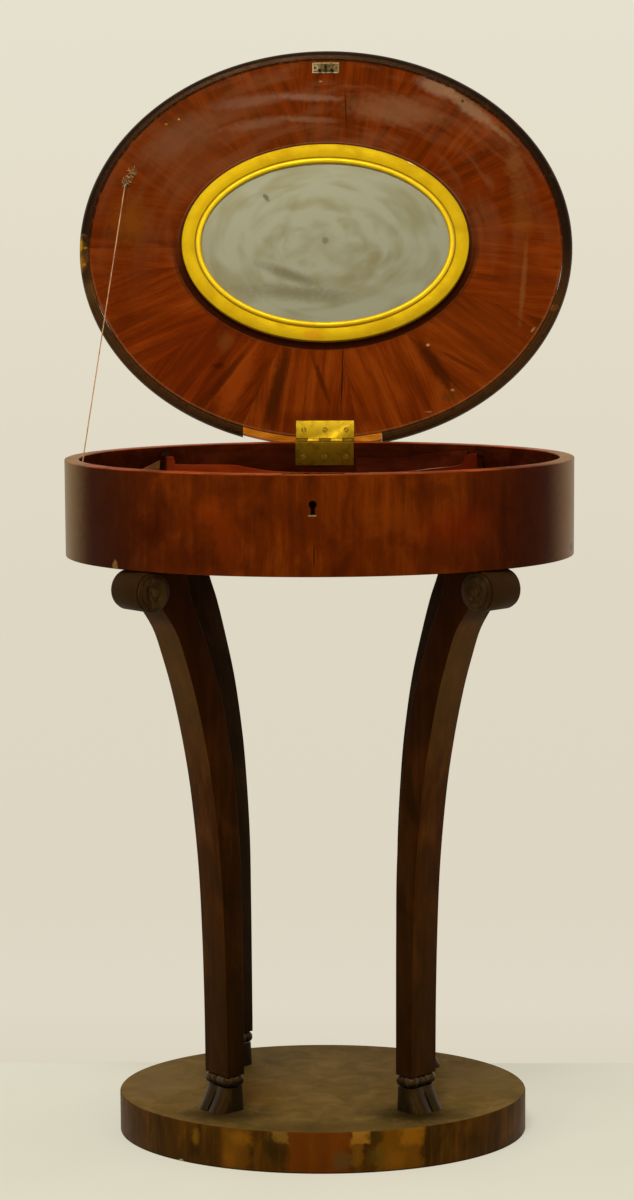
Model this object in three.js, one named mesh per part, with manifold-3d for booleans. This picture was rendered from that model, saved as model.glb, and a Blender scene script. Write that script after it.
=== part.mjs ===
// An oval work table. A shallow oval box with a fitted inside stands on four sabre legs and an
// oval plinth. Its lid carries a gilt framed mirror, turns on one wide hinge and is held open
// by a string stay. A box lock in the front wall catches a link plate on the lid.
// Millimetres. The origin is on the floor below the middle of the box. X runs along the long
// axis, Y towards the hinge and Z up. The lid stands open, as the stay holds it.
import * as THREE from "three";
import { mergeVertices } from "three/addons/utils/BufferGeometryUtils.js";
import Module from "manifold-3d";

const wasm = await Module();
wasm.setup();

// Driving dimensions of the table
const RIM_Z = 760;
const BOX_HALF_LENGTH = 281;
const BOX_HALF_WIDTH = 229;
const BOX_HEIGHT = 107;
const WALL = 16;
const FLOOR_THICKNESS = 12;
const WALL_ARRIS = 1.2;
const PLINTH_LENGTH_SHARE = 0.815;
const PLINTH_WIDTH_SHARE = 0.79;
const PLINTH_HEIGHT = 46;
const PLINTH_ARRIS = 2.5;

// Clearances
const SEAT = 0.3;
const RUNNING = 0.4;
const OVERRUN = 5;
const SCREW_CLEARANCE = 0.3;
const WELD = 1e-4;

// Fineness of the round forms
const OVAL_STEPS = 72;
const ROLL_STEPS = 32;
const BOSS_STEPS = 16;
const SMALL_STEPS = 12;
const SCREW_STEPS = 8;

// Legs, each turned inwards by the same angle to the long axis. Their tops are placed as shares
// of the box's half length and half width.
const LEG_X_SHARE = 0.662;
const LEG_Y_SHARE = 0.69;
const LEG_ANGLE = THREE.MathUtils.degToRad(42);
const LEG_WIDTH = 42;
const LEG_SWEEP = 96.5;
const LEG_ARRIS = 0.8;
const ANKLE_WIDTH_SHARE = 0.95;
const LEG_CURVE_STEPS = 22;
const ROLL_RADIUS = 21.8;
const ROLL_LENGTH = 44;
const BOSS_HEIGHT = 5;
const BOSS_INSET = 1;

// Ankles and hooves
const HOOF_HEIGHT = 27;
const COLLAR_HEIGHT = 13;
const COLLAR_PROUD = 1.6;
const BEAD_RADIUS = 4.2;
const BEADS_LONG = 4;
const BEADS_SHORT = 2;
const BEAD_STEPS = 4;
const HOOF_TOE = 15;
const HOOF_FLARE = 1.5;
const CLEFT_SHARE = 0.7;
const TENON_SEAT = 0.4;
const TENON_INTO_PLINTH = 18;

// Lid, mirror and hinge
const LID_THICKNESS = 14;
const LID_GAP = 0.4;
const LID_OPEN = THREE.MathUtils.degToRad(104);
const EDGE_BEAD = 11.5;
const LIPPING = 8;
const BEAD_CUT_LEFT = -97;
const BEAD_CUT_RIGHT = 67;
const MIRROR_HALF_LENGTH = 170;
const MIRROR_HALF_WIDTH = 119;
const MIRROR_SHIFT = 4;
const FRAME_BAND = 16;
const FRAME_HEIGHT = 9;
const FRAME_EDGE = 1.5;
const FRAME_REBATE = 3.4;
const LIP_WIDTH = 7;
const LIP_PROUD = 1.2;
const GLASS_THICKNESS = 3;
const BACKING_THICKNESS = 2.3;
const HINGE_WIDTH = 68;
const HINGE_LEAF = 1.6;
const HINGE_UP = 24;
const HINGE_DOWN = 27;
const HINGE_BARRELS = 5;
const KNUCKLE_RADIUS = 3;
const PIN_RADIUS = 1.3;
const PIN_CLEARANCE = 0.15;
const AXIS_BEHIND_WALL = 3.4;

// Screws and nails
const HINGE_SCREW_PITCH = 25;
const HINGE_SCREW_UP = 13;
const HINGE_SCREW_DOWN = 17;
const SCREW_RADIUS = 1.7;
const SCREW_HEAD_RADIUS = 3.3;
const SCREW_HEAD_HEIGHT = 1.1;
const SCREW_LENGTH = 9;
const LEG_SCREW_RADIUS = 2.4;
const LEG_SCREW_HEAD_RADIUS = 5;
const LEG_SCREW_HEAD_HEIGHT = 2.2;
const LEG_SCREW_BITE = 30;
const LEG_SCREW_INWARD = 28;
const NAIL_RADIUS = 1;
const NAIL_HEAD_RADIUS = 2.6;
const NAIL_PROUD = 3;
const NAIL_DEPTH = 8;
const STRING_DIAMETER = 1.4;
const STRING_STEPS = 12;

// Fitted inside. The boards and the lining are placed as shares of the box's half sizes.
const BOARD = 6;
const DIVIDER_SHARE = 0.637;
const WELL_SHARE = 0.393;
const WELL_DIP = 25;
const DIVIDER_DIP = 28;
const LINING = 3;
const LINING_FROM_SHARE = 0.132;
const LINING_TO_SHARE = 0.598;
const LINING_DIP = 17;
const WING_LENGTH = 26;
const WING_TOP_DIP = 10;
const WING_LOW_DIP = 23;

// Lock in the front wall and its link plate
const KEYHOLE_DROP = 31.3;
const KEYHOLE_RADIUS = 4.2;
const KEYHOLE_SLOT = 4.4;
const KEYHOLE_LENGTH = 11;
const LOCK_WIDTH = 54;
const LOCK_HEIGHT = 46;
const LOCK_DEPTH = 11.4;
const LOCK_SHEET = 1.5;
const LOCK_FLANGE = 5;
const BOLT_THICKNESS = 3;
const BOLT_BAR = 5;
const BOLT_PRONG = 4.5;
const BOLT_TRAVEL = 6;
const LINK_LENGTH = 32;
const LINK_WIDTH = 13;
const LINK_SHEET = 1.8;
const LINK_SCREW_SPREAD = 25;
const STAPLE_PITCH = 14;
const STAPLE_SHEET = 2.5;
const STAPLE_WIDTH = 8;
const STAPLE_DROP = 9;
const STAPLE_WIRE = 2;
const STAPLE_ROOM = 1;
const SMALL_SCREW_RADIUS = 1;
const SMALL_SCREW_HEAD_RADIUS = 2;
const SMALL_SCREW_HEAD_HEIGHT = 0.8;
const SMALL_SCREW_LENGTH = 5;

// Sizes that follow from those above
const BOX_BOTTOM = RIM_Z - BOX_HEIGHT;
const FLOOR_TOP = BOX_BOTTOM + FLOOR_THICKNESS;
const INNER_HALF_LENGTH = BOX_HALF_LENGTH - WALL;
const INNER_HALF_WIDTH = BOX_HALF_WIDTH - WALL;
const PLINTH_HALF_LENGTH = BOX_HALF_LENGTH * PLINTH_LENGTH_SHARE;
const PLINTH_HALF_WIDTH = BOX_HALF_WIDTH * PLINTH_WIDTH_SHARE;
const LEG_X = BOX_HALF_LENGTH * LEG_X_SHARE;
const LEG_Y = BOX_HALF_WIDTH * LEG_Y_SHARE;
const DIVIDER_X = BOX_HALF_LENGTH * DIVIDER_SHARE;
const WELL_HALF_WIDTH = BOX_HALF_WIDTH * WELL_SHARE;
const LEG_RISE = BOX_BOTTOM - PLINTH_HEIGHT;
const LEG_TOP = BOX_BOTTOM - SEAT;
const ROLL_Z = LEG_TOP - ROLL_RADIUS;
const ANKLE_TOP = PLINTH_HEIGHT + HOOF_HEIGHT + COLLAR_HEIGHT;
const HOOF_TOP = PLINTH_HEIGHT + HOOF_HEIGHT;
const AXIS_Y = BOX_HALF_WIDTH + AXIS_BEHIND_WALL;
const AXIS_Z = RIM_Z + LID_GAP / 2;
const BARREL_LENGTH = HINGE_WIDTH / HINGE_BARRELS;
const UNDERSIDE = LID_GAP / 2;
const LID_CENTRE_Y = -AXIS_Y;
const LOCK_BACK_Y = -INNER_HALF_WIDTH;
const KEYHOLE_Z = RIM_Z - KEYHOLE_DROP;
const LOCK_SCREW_Z = RIM_Z - LOCK_HEIGHT / 2;

// Leg outline: height as a share of LEG_RISE, then inward reach as a share of LEG_SWEEP
const LEG_OUTER_SHARES = [
  [0.0972, 1], [0.188, 0.994], [0.32, 0.973], [0.451, 0.929], [0.583, 0.836],
  [0.682, 0.723], [0.773, 0.583], [0.839, 0.449], [0.888, 0.328], [0.929, 0.155], [0.948, 0.075],
];
const LEG_INNER_SHARES = [
  [0.0972, 1.247], [0.188, 1.244], [0.32, 1.238], [0.451, 1.223], [0.583, 1.158], [0.666, 1.085],
  [0.748, 0.98], [0.822, 0.841], [0.888, 0.699], [0.946, 0.543], [1, 0.484],
];

// Turned ends of the rolls: radius and height as shares of the boss's own radius and height
const BOSS_SHARES = [
  [0.98, 0], [1, 0.34], [0.8, 0.42], [0.74, 0.72], [0.52, 0.66], [0.44, 0.3], [0.24, 0.36], [0.16, 0.94],
  [0, 1],
];

// Beads round an ankle: the waist between two beads, the swell from one waist to the next, and
// the section as reach and rise shares
const BEAD_WAIST_SHARE = 0.72;
const BEAD_SWELL_SHARES = [0.93, 1, 0.93];
const BEAD_RING_SHARES = [[1, 0], [0.6, 0.85], [-0.6, 1], [-1, 0], [-0.6, -1], [0.6, -0.85]];

// Half round of the lid's edge bead and the rounded lip of the mirror, across and up as shares
const BEAD_SECTION_SHARES = [[0.62, -0.9], [0.92, -0.5], [1, 0], [0.92, 0.5], [0.62, 0.9]];
const LIP_SECTION_SHARES = [[0.1, 0.75], [0.4, 1], [0.75, 0.85]];

// Half of a hoof's outline from heel to cleft: reach and half width as shares
const HOOF_HEEL_SHARES = [[1, 0.35], [0.94, 0.75], [0.7, 0.96]];
const HOOF_TOE_SHARES = [[0.2, 1], [0.6, 0.97], [0.86, 0.8], [0.98, 0.5], [0.95, 0.2]];

// Board tops: place along the board as a share of its half length, dip below the rim as a share
const BACK_BOARD_SHARES = [
  [-1, 0.28], [-0.96, 0.28], [-0.945, 0.5], [-0.92, 0.62], [-0.6, 0.64], [-0.48, 0.76], [-0.34, 0.92],
  [-0.2, 0.98], [0, 1], [0.4, 1], [0.56, 0.96], [0.71, 0.84], [0.82, 0.77], [0.89, 0.68], [0.91, 0.5],
  [0.93, 0.28], [0.965, 0.18], [1, 0.16],
];
const FRONT_BOARD_SHARES = [
  [-1, 0.64], [-0.6, 0.64], [-0.48, 0.76], [-0.34, 0.92], [-0.2, 0.98], [0, 1],
  [0.2, 0.98], [0.34, 0.92], [0.48, 0.76], [0.6, 0.64], [1, 0.64],
];
const DIVIDER_SHARES = [
  [-1, 0.4], [-0.8, 0.45], [-0.66, 0.86], [-0.5, 1], [0.14, 1], [0.26, 0.9], [0.33, 0.5], [0.36, 0.24],
  [0.4, 0.16], [1, 0.14],
];
const LINING_SHARES = [
  [0, 0.98], [0.2, 1], [0.37, 0.96], [0.5, 0.78], [0.65, 0.58], [0.79, 0.44], [0.9, 0.37], [1, 0.32],
];

// The stay string runs straight between its two nails, from the lid to the box. The lid's nail
// is left of the lid's middle and towards its front, as shares of the box's half sizes.
const LID_NAIL_LEFT_SHARE = 0.847;
const LID_NAIL_FRONT_SHARE = 0.3476;
const BOX_NAIL_FRONT_SHARE = 0.131;
const BOX_NAIL_DROP = 18;

/** Turns a geometry inside out where its volume comes out negative. */
function facingOut(geometry) {
  const position = geometry.attributes.position;
  const index = geometry.index.array;
  const a = new THREE.Vector3();
  const b = new THREE.Vector3();
  const c = new THREE.Vector3();
  let volume = 0;
  for (let i = 0; i < index.length; i += 3) {
    a.fromBufferAttribute(position, index[i]);
    b.fromBufferAttribute(position, index[i + 1]);
    c.fromBufferAttribute(position, index[i + 2]);
    volume += a.dot(b.cross(c));
  }
  if (volume < 0) {
    for (let i = 0; i < index.length; i += 3) {
      [index[i], index[i + 1]] = [index[i + 1], index[i]];
    }
  }
  return geometry;
}

/** Triangles of one flat ring of points, numbered from the ring's first point. */
function capTriangles(ring) {
  const normal = new THREE.Vector3();
  ring.forEach((point, i) => {
    const next = ring[(i + 1) % ring.length];
    normal.add(new THREE.Vector3().crossVectors(point, next));
  });
  normal.normalize();
  const side = new THREE.Vector3().subVectors(ring[1], ring[0]).normalize();
  const up = new THREE.Vector3().crossVectors(normal, side);
  const flat = ring.map((point) => new THREE.Vector2(point.dot(side), point.dot(up)));
  return THREE.ShapeUtils.triangulateShape(flat, []);
}

/** A closed body through rings of equal length. A closed path joins its last ring to its first. */
function loft(rings, closedPath = false) {
  const count = rings[0].length;
  const positions = rings.flat().flatMap((point) => [point.x, point.y, point.z]);
  const index = [];
  const spans = closedPath ? rings.length : rings.length - 1;
  for (let r = 0; r < spans; r++) {
    const here = r * count;
    const there = ((r + 1) % rings.length) * count;
    for (let i = 0; i < count; i++) {
      const j = (i + 1) % count;
      index.push(here + i, here + j, there + j, here + i, there + j, there + i);
    }
  }
  if (!closedPath) {
    const last = (rings.length - 1) * count;
    for (const [i, j, k] of capTriangles(rings[0])) {
      index.push(k, j, i);
    }
    for (const [i, j, k] of capTriangles(rings[rings.length - 1])) {
      index.push(last + i, last + j, last + k);
    }
  }
  const geometry = new THREE.BufferGeometry();
  geometry.setAttribute("position", new THREE.Float32BufferAttribute(positions, 3));
  geometry.setIndex(index);
  return facingOut(geometry);
}

/** The geometry with only its positions, shared where they meet. */
function welded(geometry) {
  const plain = geometry.clone();
  for (const name of Object.keys(plain.attributes)) {
    if (name !== "position") {
      plain.deleteAttribute(name);
    }
  }
  return mergeVertices(plain, WELD);
}

function toSolid(geometry) {
  const plain = welded(geometry);
  const vertProperties = new Float32Array(plain.attributes.position.array);
  const triVerts = new Uint32Array(plain.index.array);
  return new wasm.Manifold(new wasm.Mesh({ numProp: 3, vertProperties, triVerts }));
}

function toGeometry(solid) {
  const mesh = solid.getMesh();
  const geometry = new THREE.BufferGeometry();
  geometry.setAttribute("position", new THREE.BufferAttribute(new Float32Array(mesh.vertProperties), 3));
  geometry.setIndex(new THREE.BufferAttribute(new Uint32Array(mesh.triVerts), 1));
  return geometry;
}

/** The geometry with every tool taken out of it. */
function cut(geometry, tools) {
  return toGeometry(tools.reduce((rest, tool) => rest.subtract(toSolid(tool)), toSolid(geometry)));
}

/** All the geometries as one body. */
function join(geometries) {
  return toGeometry(geometries.map(toSolid).reduce((whole, part) => whole.add(part)));
}

/** The room that two geometries share. */
function common(geometry, other) {
  return toGeometry(toSolid(geometry).intersect(toSolid(other)));
}

/** A block between two places on each axis. */
function box(x0, x1, y0, y1, z0, z1) {
  const geometry = new THREE.BoxGeometry(x1 - x0, y1 - y0, z1 - z0);
  return geometry.translate((x0 + x1) / 2, (y0 + y1) / 2, (z0 + z1) / 2);
}

/** A round bar along +Z from the origin. */
function bar(radius, length, steps) {
  const round = new THREE.CylinderGeometry(radius, radius, length, steps);
  return round.rotateX(Math.PI / 2).translate(0, 0, length / 2);
}

/** A round bar along X, centred on the origin. */
function crossBar(radius, length, steps) {
  return bar(radius, length, steps).translate(0, 0, -length / 2).rotateY(Math.PI / 2);
}

/** Points of an oval, evenly by angle, at one height. */
function ovalRing(halfLength, halfWidth, z, steps = OVAL_STEPS) {
  return Array.from({ length: steps }, (_, i) => {
    const angle = (2 * Math.PI * i) / steps;
    return new THREE.Vector3(halfLength * Math.cos(angle), halfWidth * Math.sin(angle), z);
  });
}

/** An oval body from levels of [inset, z], with the outline drawn in by each inset. */
function ovalStack(halfLength, halfWidth, levels) {
  return loft(levels.map(([inset, z]) => ovalRing(halfLength - inset, halfWidth - inset, z)));
}

/** A closed section of [inset, z] points swept all round an oval. */
function ovalSweep(section, halfLength, halfWidth) {
  const rings = Array.from({ length: OVAL_STEPS }, (_, i) => {
    const angle = (2 * Math.PI * i) / OVAL_STEPS;
    return section.map(([inset, z]) => new THREE.Vector3(
      (halfLength - inset) * Math.cos(angle),
      (halfWidth - inset) * Math.sin(angle),
      z,
    ));
  });
  return loft(rings, true);
}

/** A flat outline in X and Z, or in Y and Z, made one board thick about a place. */
function board(points, thickness, place, alongX) {
  const shape = new THREE.Shape(points.map(([along, z]) => new THREE.Vector2(along, z)));
  const geometry = new THREE.ExtrudeGeometry(shape, { depth: thickness, bevelEnabled: false });
  geometry.translate(0, 0, -thickness / 2).rotateX(Math.PI / 2);
  if (!alongX) {
    geometry.rotateZ(Math.PI / 2);
  }
  return alongX ? geometry.translate(0, place, 0) : geometry.translate(place, 0, 0);
}

/** A body turned about Z from a profile of [radius, z] that starts and ends on the axis. */
function turned(profile, steps) {
  const points = profile.map(([radius, z]) => new THREE.Vector2(radius, z));
  return new THREE.LatheGeometry(points, steps).rotateX(Math.PI / 2);
}

/** A screw with a low domed head on the plane Z = 0 and its shank below. */
function screw(radius, length, headRadius, headHeight) {
  return turned([
    [0, -length], [radius, -length + radius], [radius, SEAT], [headRadius, SEAT],
    [headRadius, SEAT + headHeight / 2], [headRadius / 2, SEAT + headHeight], [0, SEAT + headHeight],
  ], SCREW_STEPS);
}

/** A screw whose countersunk head is flush with the plane Z = 0. */
function flushScrew(radius, length, headRadius, headHeight) {
  return turned([
    [0, -length], [radius, -length + radius], [radius, -headHeight], [headRadius, 0], [0, 0],
  ], SCREW_STEPS);
}

/** The hole for a screw down from the plane Z = 0. */
function hole(radius, depth) {
  return bar(radius + SCREW_CLEARANCE, depth + OVERRUN, SCREW_STEPS).translate(0, 0, -depth);
}

/** The hole through a plate for a countersunk screw. */
function countersink(radius, depth, headRadius, headHeight) {
  const shank = radius + SCREW_CLEARANCE;
  const head = headRadius + SCREW_CLEARANCE;
  return turned([
    [0, -depth], [shank, -depth], [shank, -headHeight], [head, 0], [head, OVERRUN], [0, OVERRUN],
  ], SCREW_STEPS);
}

/** Turns a tool made along Z so that its +Z end points along a direction, and moves it there. */
function aimed(geometry, direction, place) {
  const turn = new THREE.Quaternion().setFromUnitVectors(new THREE.Vector3(0, 0, 1), direction);
  return geometry.applyQuaternion(turn).translate(place.x, place.y, place.z);
}

const mahogany = () => new THREE.MeshStandardMaterial({ color: 0x6b2a12, roughness: 0.35 });
const legWood = () => new THREE.MeshStandardMaterial({ color: 0x2c1508, roughness: 0.4 });
const ebonised = () => new THREE.MeshStandardMaterial({ color: 0x16100c, roughness: 0.35 });
const paleWood = () => new THREE.MeshStandardMaterial({ color: 0xb9772f, roughness: 0.7 });
const gilt = () => new THREE.MeshStandardMaterial({ color: 0xb98a1e, roughness: 0.35, metalness: 1 });
const brass = () => new THREE.MeshStandardMaterial({ color: 0x9a8432, roughness: 0.4, metalness: 1 });
const steel = () => new THREE.MeshStandardMaterial({ color: 0x6f6a62, roughness: 0.5, metalness: 1 });
const silvered = () => new THREE.MeshStandardMaterial({ color: 0x9aa08f, roughness: 0.1, metalness: 1 });
const twine = () => new THREE.MeshStandardMaterial({ color: 0xb98a55, roughness: 0.9 });

function place(parent, name, geometry, material) {
  const mesh = new THREE.Mesh(geometry, material);
  mesh.name = name;
  parent.add(mesh);
}

const LEGS = [
  { name: "front_left", x: -1, y: -1 },
  { name: "front_right", x: 1, y: -1 },
  { name: "rear_left", x: -1, y: 1 },
  { name: "rear_right", x: 1, y: 1 },
];

/** The turn about Z that lays a leg's own X along its inward direction. */
const legTurn = (leg) => Math.atan2(-leg.y * Math.sin(LEG_ANGLE), -leg.x * Math.cos(LEG_ANGLE));

/** A point of a leg's own frame in the table's frame. */
function onLeg(leg, inward, z) {
  const turn = legTurn(leg);
  return new THREE.Vector3(
    leg.x * LEG_X + inward * Math.cos(turn),
    leg.y * LEG_Y + inward * Math.sin(turn),
    z,
  );
}

const ankleOuter = LEG_SWEEP * LEG_OUTER_SHARES[0][1];
const ankleInner = LEG_SWEEP * LEG_INNER_SHARES[0][1];
const ANKLE_MIDDLE = (ankleOuter + ankleInner) / 2;
const ANKLE_HALF_DEPTH = (ankleInner - ankleOuter) / 2;
const ANKLE_HALF_WIDTH = (LEG_WIDTH * ANKLE_WIDTH_SHARE) / 2;
const COLLAR_HALF_DEPTH = ANKLE_HALF_DEPTH + COLLAR_PROUD - BEAD_RADIUS;
const COLLAR_HALF_WIDTH = ANKLE_HALF_WIDTH + COLLAR_PROUD - BEAD_RADIUS;
const TENON_HALF_DEPTH = COLLAR_HALF_DEPTH - BEAD_RADIUS - TENON_SEAT;
const TENON_HALF_WIDTH = COLLAR_HALF_WIDTH - BEAD_RADIUS - TENON_SEAT;

/** The sabre curve through a list of shares, from the ankle up. */
function legCurve(shares) {
  const points = shares.map(([rise, reach]) => new THREE.Vector2(
    LEG_SWEEP * reach,
    PLINTH_HEIGHT + LEG_RISE * rise,
  ));
  points[0].y = ANKLE_TOP;
  return new THREE.SplineCurve(points).getPoints(LEG_CURVE_STEPS);
}

/** One leg: the sawn sabre curve, its roll across the top and the long tenon below its ankle. */
function legGeometry() {
  const outer = legCurve(LEG_OUTER_SHARES);
  const inner = legCurve(LEG_INNER_SHARES).reverse();
  inner[0].y = LEG_TOP;
  const crown = [new THREE.Vector2(0, ROLL_Z), new THREE.Vector2(0, LEG_TOP)];
  const shape = new THREE.Shape([...outer, ...crown, ...inner]);
  const shaft = new THREE.ExtrudeGeometry(shape, {
    depth: LEG_WIDTH - 2 * LEG_ARRIS,
    bevelThickness: LEG_ARRIS,
    bevelSize: LEG_ARRIS,
    bevelOffset: -LEG_ARRIS,
    bevelSegments: 1,
  });
  shaft.translate(0, 0, -(LEG_WIDTH / 2 - LEG_ARRIS)).rotateX(Math.PI / 2);
  const position = shaft.attributes.position;
  for (let i = 0; i < position.count; i++) {
    const rise = (position.getZ(i) - PLINTH_HEIGHT) / LEG_RISE;
    position.setY(i, position.getY(i) * THREE.MathUtils.lerp(ANKLE_WIDTH_SHARE, 1, rise));
  }
  const roll = crossBar(ROLL_RADIUS, ROLL_LENGTH, ROLL_STEPS);
  roll.rotateZ(Math.PI / 2).translate(0, 0, ROLL_Z);
  const tenon = box(
    ANKLE_MIDDLE - TENON_HALF_DEPTH, ANKLE_MIDDLE + TENON_HALF_DEPTH,
    -TENON_HALF_WIDTH, TENON_HALF_WIDTH,
    PLINTH_HEIGHT - TENON_INTO_PLINTH, ANKLE_TOP + OVERRUN,
  );
  const drilled = hole(LEG_SCREW_RADIUS, LEG_SCREW_BITE).translate(LEG_SCREW_INWARD, 0, LEG_TOP);
  return cut(join([shaft, roll, tenon]), [drilled]);
}

/** One stepped, turned end of a roll. Side is 1 or -1, along the leg's own Y. */
function rollEnd(side) {
  const radius = ROLL_RADIUS - BOSS_INSET;
  const profile = [[0, 0], ...BOSS_SHARES].map(([r, h]) => [r * radius, h * BOSS_HEIGHT]);
  const boss = turned(profile, BOSS_STEPS);
  const seat = new THREE.Vector3(0, side * (ROLL_LENGTH / 2 + SEAT), ROLL_Z);
  return aimed(boss, new THREE.Vector3(0, side, 0), seat);
}

/** Corner points of the bead string's centre line, one for each bead step, about the ankle. */
function collarPath() {
  const corners = [
    [COLLAR_HALF_DEPTH, -COLLAR_HALF_WIDTH], [COLLAR_HALF_DEPTH, COLLAR_HALF_WIDTH],
    [-COLLAR_HALF_DEPTH, COLLAR_HALF_WIDTH], [-COLLAR_HALF_DEPTH, -COLLAR_HALF_WIDTH],
  ];
  const beads = [BEADS_LONG, BEADS_SHORT, BEADS_LONG, BEADS_SHORT];
  return corners.flatMap(([x, y], side) => {
    const [toX, toY] = corners[(side + 1) % corners.length];
    const steps = beads[side] * BEAD_STEPS;
    return Array.from({ length: steps }, (_, i) => new THREE.Vector2(
      x + ((toX - x) * i) / steps,
      y + ((toY - y) * i) / steps,
    ));
  });
}

/** A closed string of beads about the ankle, carved as one ring. */
function collarGeometry() {
  const path = collarPath();
  const middle = HOOF_TOP + COLLAR_HEIGHT / 2;
  const rings = path.map((point, i) => {
    const before = path[(i - 1 + path.length) % path.length];
    const after = path[(i + 1) % path.length];
    const along = new THREE.Vector2().subVectors(after, before).normalize();
    const out = new THREE.Vector3(along.y, -along.x, 0);
    const swell = i % BEAD_STEPS === 0 ? BEAD_WAIST_SHARE : BEAD_SWELL_SHARES[(i % BEAD_STEPS) - 1];
    return BEAD_RING_SHARES.map(([reach, rise]) => new THREE.Vector3(
      point.x + out.x * reach * BEAD_RADIUS * swell,
      point.y + out.y * reach * BEAD_RADIUS * swell,
      rise * (COLLAR_HEIGHT / 2 - SEAT) * swell,
    ));
  });
  return loft(rings, true).translate(ANKLE_MIDDLE, 0, middle);
}

/** One cloven hoof, carved, with the mortise that the leg's tenon goes through. */
function hoofGeometry() {
  const levels = [[PLINTH_HEIGHT + SEAT, 1], [PLINTH_HEIGHT + HOOF_HEIGHT / 4, 0.86],
    [PLINTH_HEIGHT + HOOF_HEIGHT / 2, 0.52], [HOOF_TOP - SEAT, 0]];
  const rings = levels.map(([z, spread]) => {
    const halfWidth = ANKLE_HALF_WIDTH + HOOF_FLARE * spread;
    const toe = ANKLE_HALF_DEPTH + HOOF_TOE * spread;
    const heel = HOOF_HEEL_SHARES.map(([reach, width]) => [reach * ANKLE_HALF_DEPTH, width * halfWidth]);
    const front = HOOF_TOE_SHARES.map(([reach, width]) => [-reach * toe, width * halfWidth]);
    const half = [...heel, ...front];
    const cleft = [[-CLEFT_SHARE * toe, 0]];
    const other = half.map(([x, y]) => [x, -y]).reverse();
    return [...half, ...cleft, ...other].map(([x, y]) => new THREE.Vector3(ANKLE_MIDDLE + x, y, z));
  });
  const mortise = box(
    ANKLE_MIDDLE - TENON_HALF_DEPTH - SEAT, ANKLE_MIDDLE + TENON_HALF_DEPTH + SEAT,
    -TENON_HALF_WIDTH - SEAT, TENON_HALF_WIDTH + SEAT,
    PLINTH_HEIGHT - OVERRUN, HOOF_TOP + OVERRUN,
  );
  return cut(loft(rings), [mortise]);
}

/** The oval plinth, with a mortise for each leg's tenon. */
function plinthGeometry() {
  const solid = ovalStack(PLINTH_HALF_LENGTH, PLINTH_HALF_WIDTH, [
    [0, 0], [0, PLINTH_HEIGHT - PLINTH_ARRIS], [PLINTH_ARRIS, PLINTH_HEIGHT],
  ]);
  const tools = LEGS.map((leg) => {
    const centre = onLeg(leg, ANKLE_MIDDLE, 0);
    const mortise = box(
      -TENON_HALF_DEPTH - SEAT, TENON_HALF_DEPTH + SEAT,
      -TENON_HALF_WIDTH - SEAT, TENON_HALF_WIDTH + SEAT,
      PLINTH_HEIGHT - TENON_INTO_PLINTH - SEAT, PLINTH_HEIGHT + OVERRUN,
    );
    return mortise.rotateZ(legTurn(leg)).translate(centre.x, centre.y, 0);
  });
  return cut(solid, tools);
}

/** A screw down through the floor panel into the top of one leg. */
function legScrew(leg) {
  const length = FLOOR_THICKNESS + LEG_SCREW_BITE;
  const centre = onLeg(leg, LEG_SCREW_INWARD, FLOOR_TOP);
  const one = screw(LEG_SCREW_RADIUS, length, LEG_SCREW_HEAD_RADIUS, LEG_SCREW_HEAD_HEIGHT);
  return one.translate(centre.x, centre.y, centre.z);
}

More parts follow.
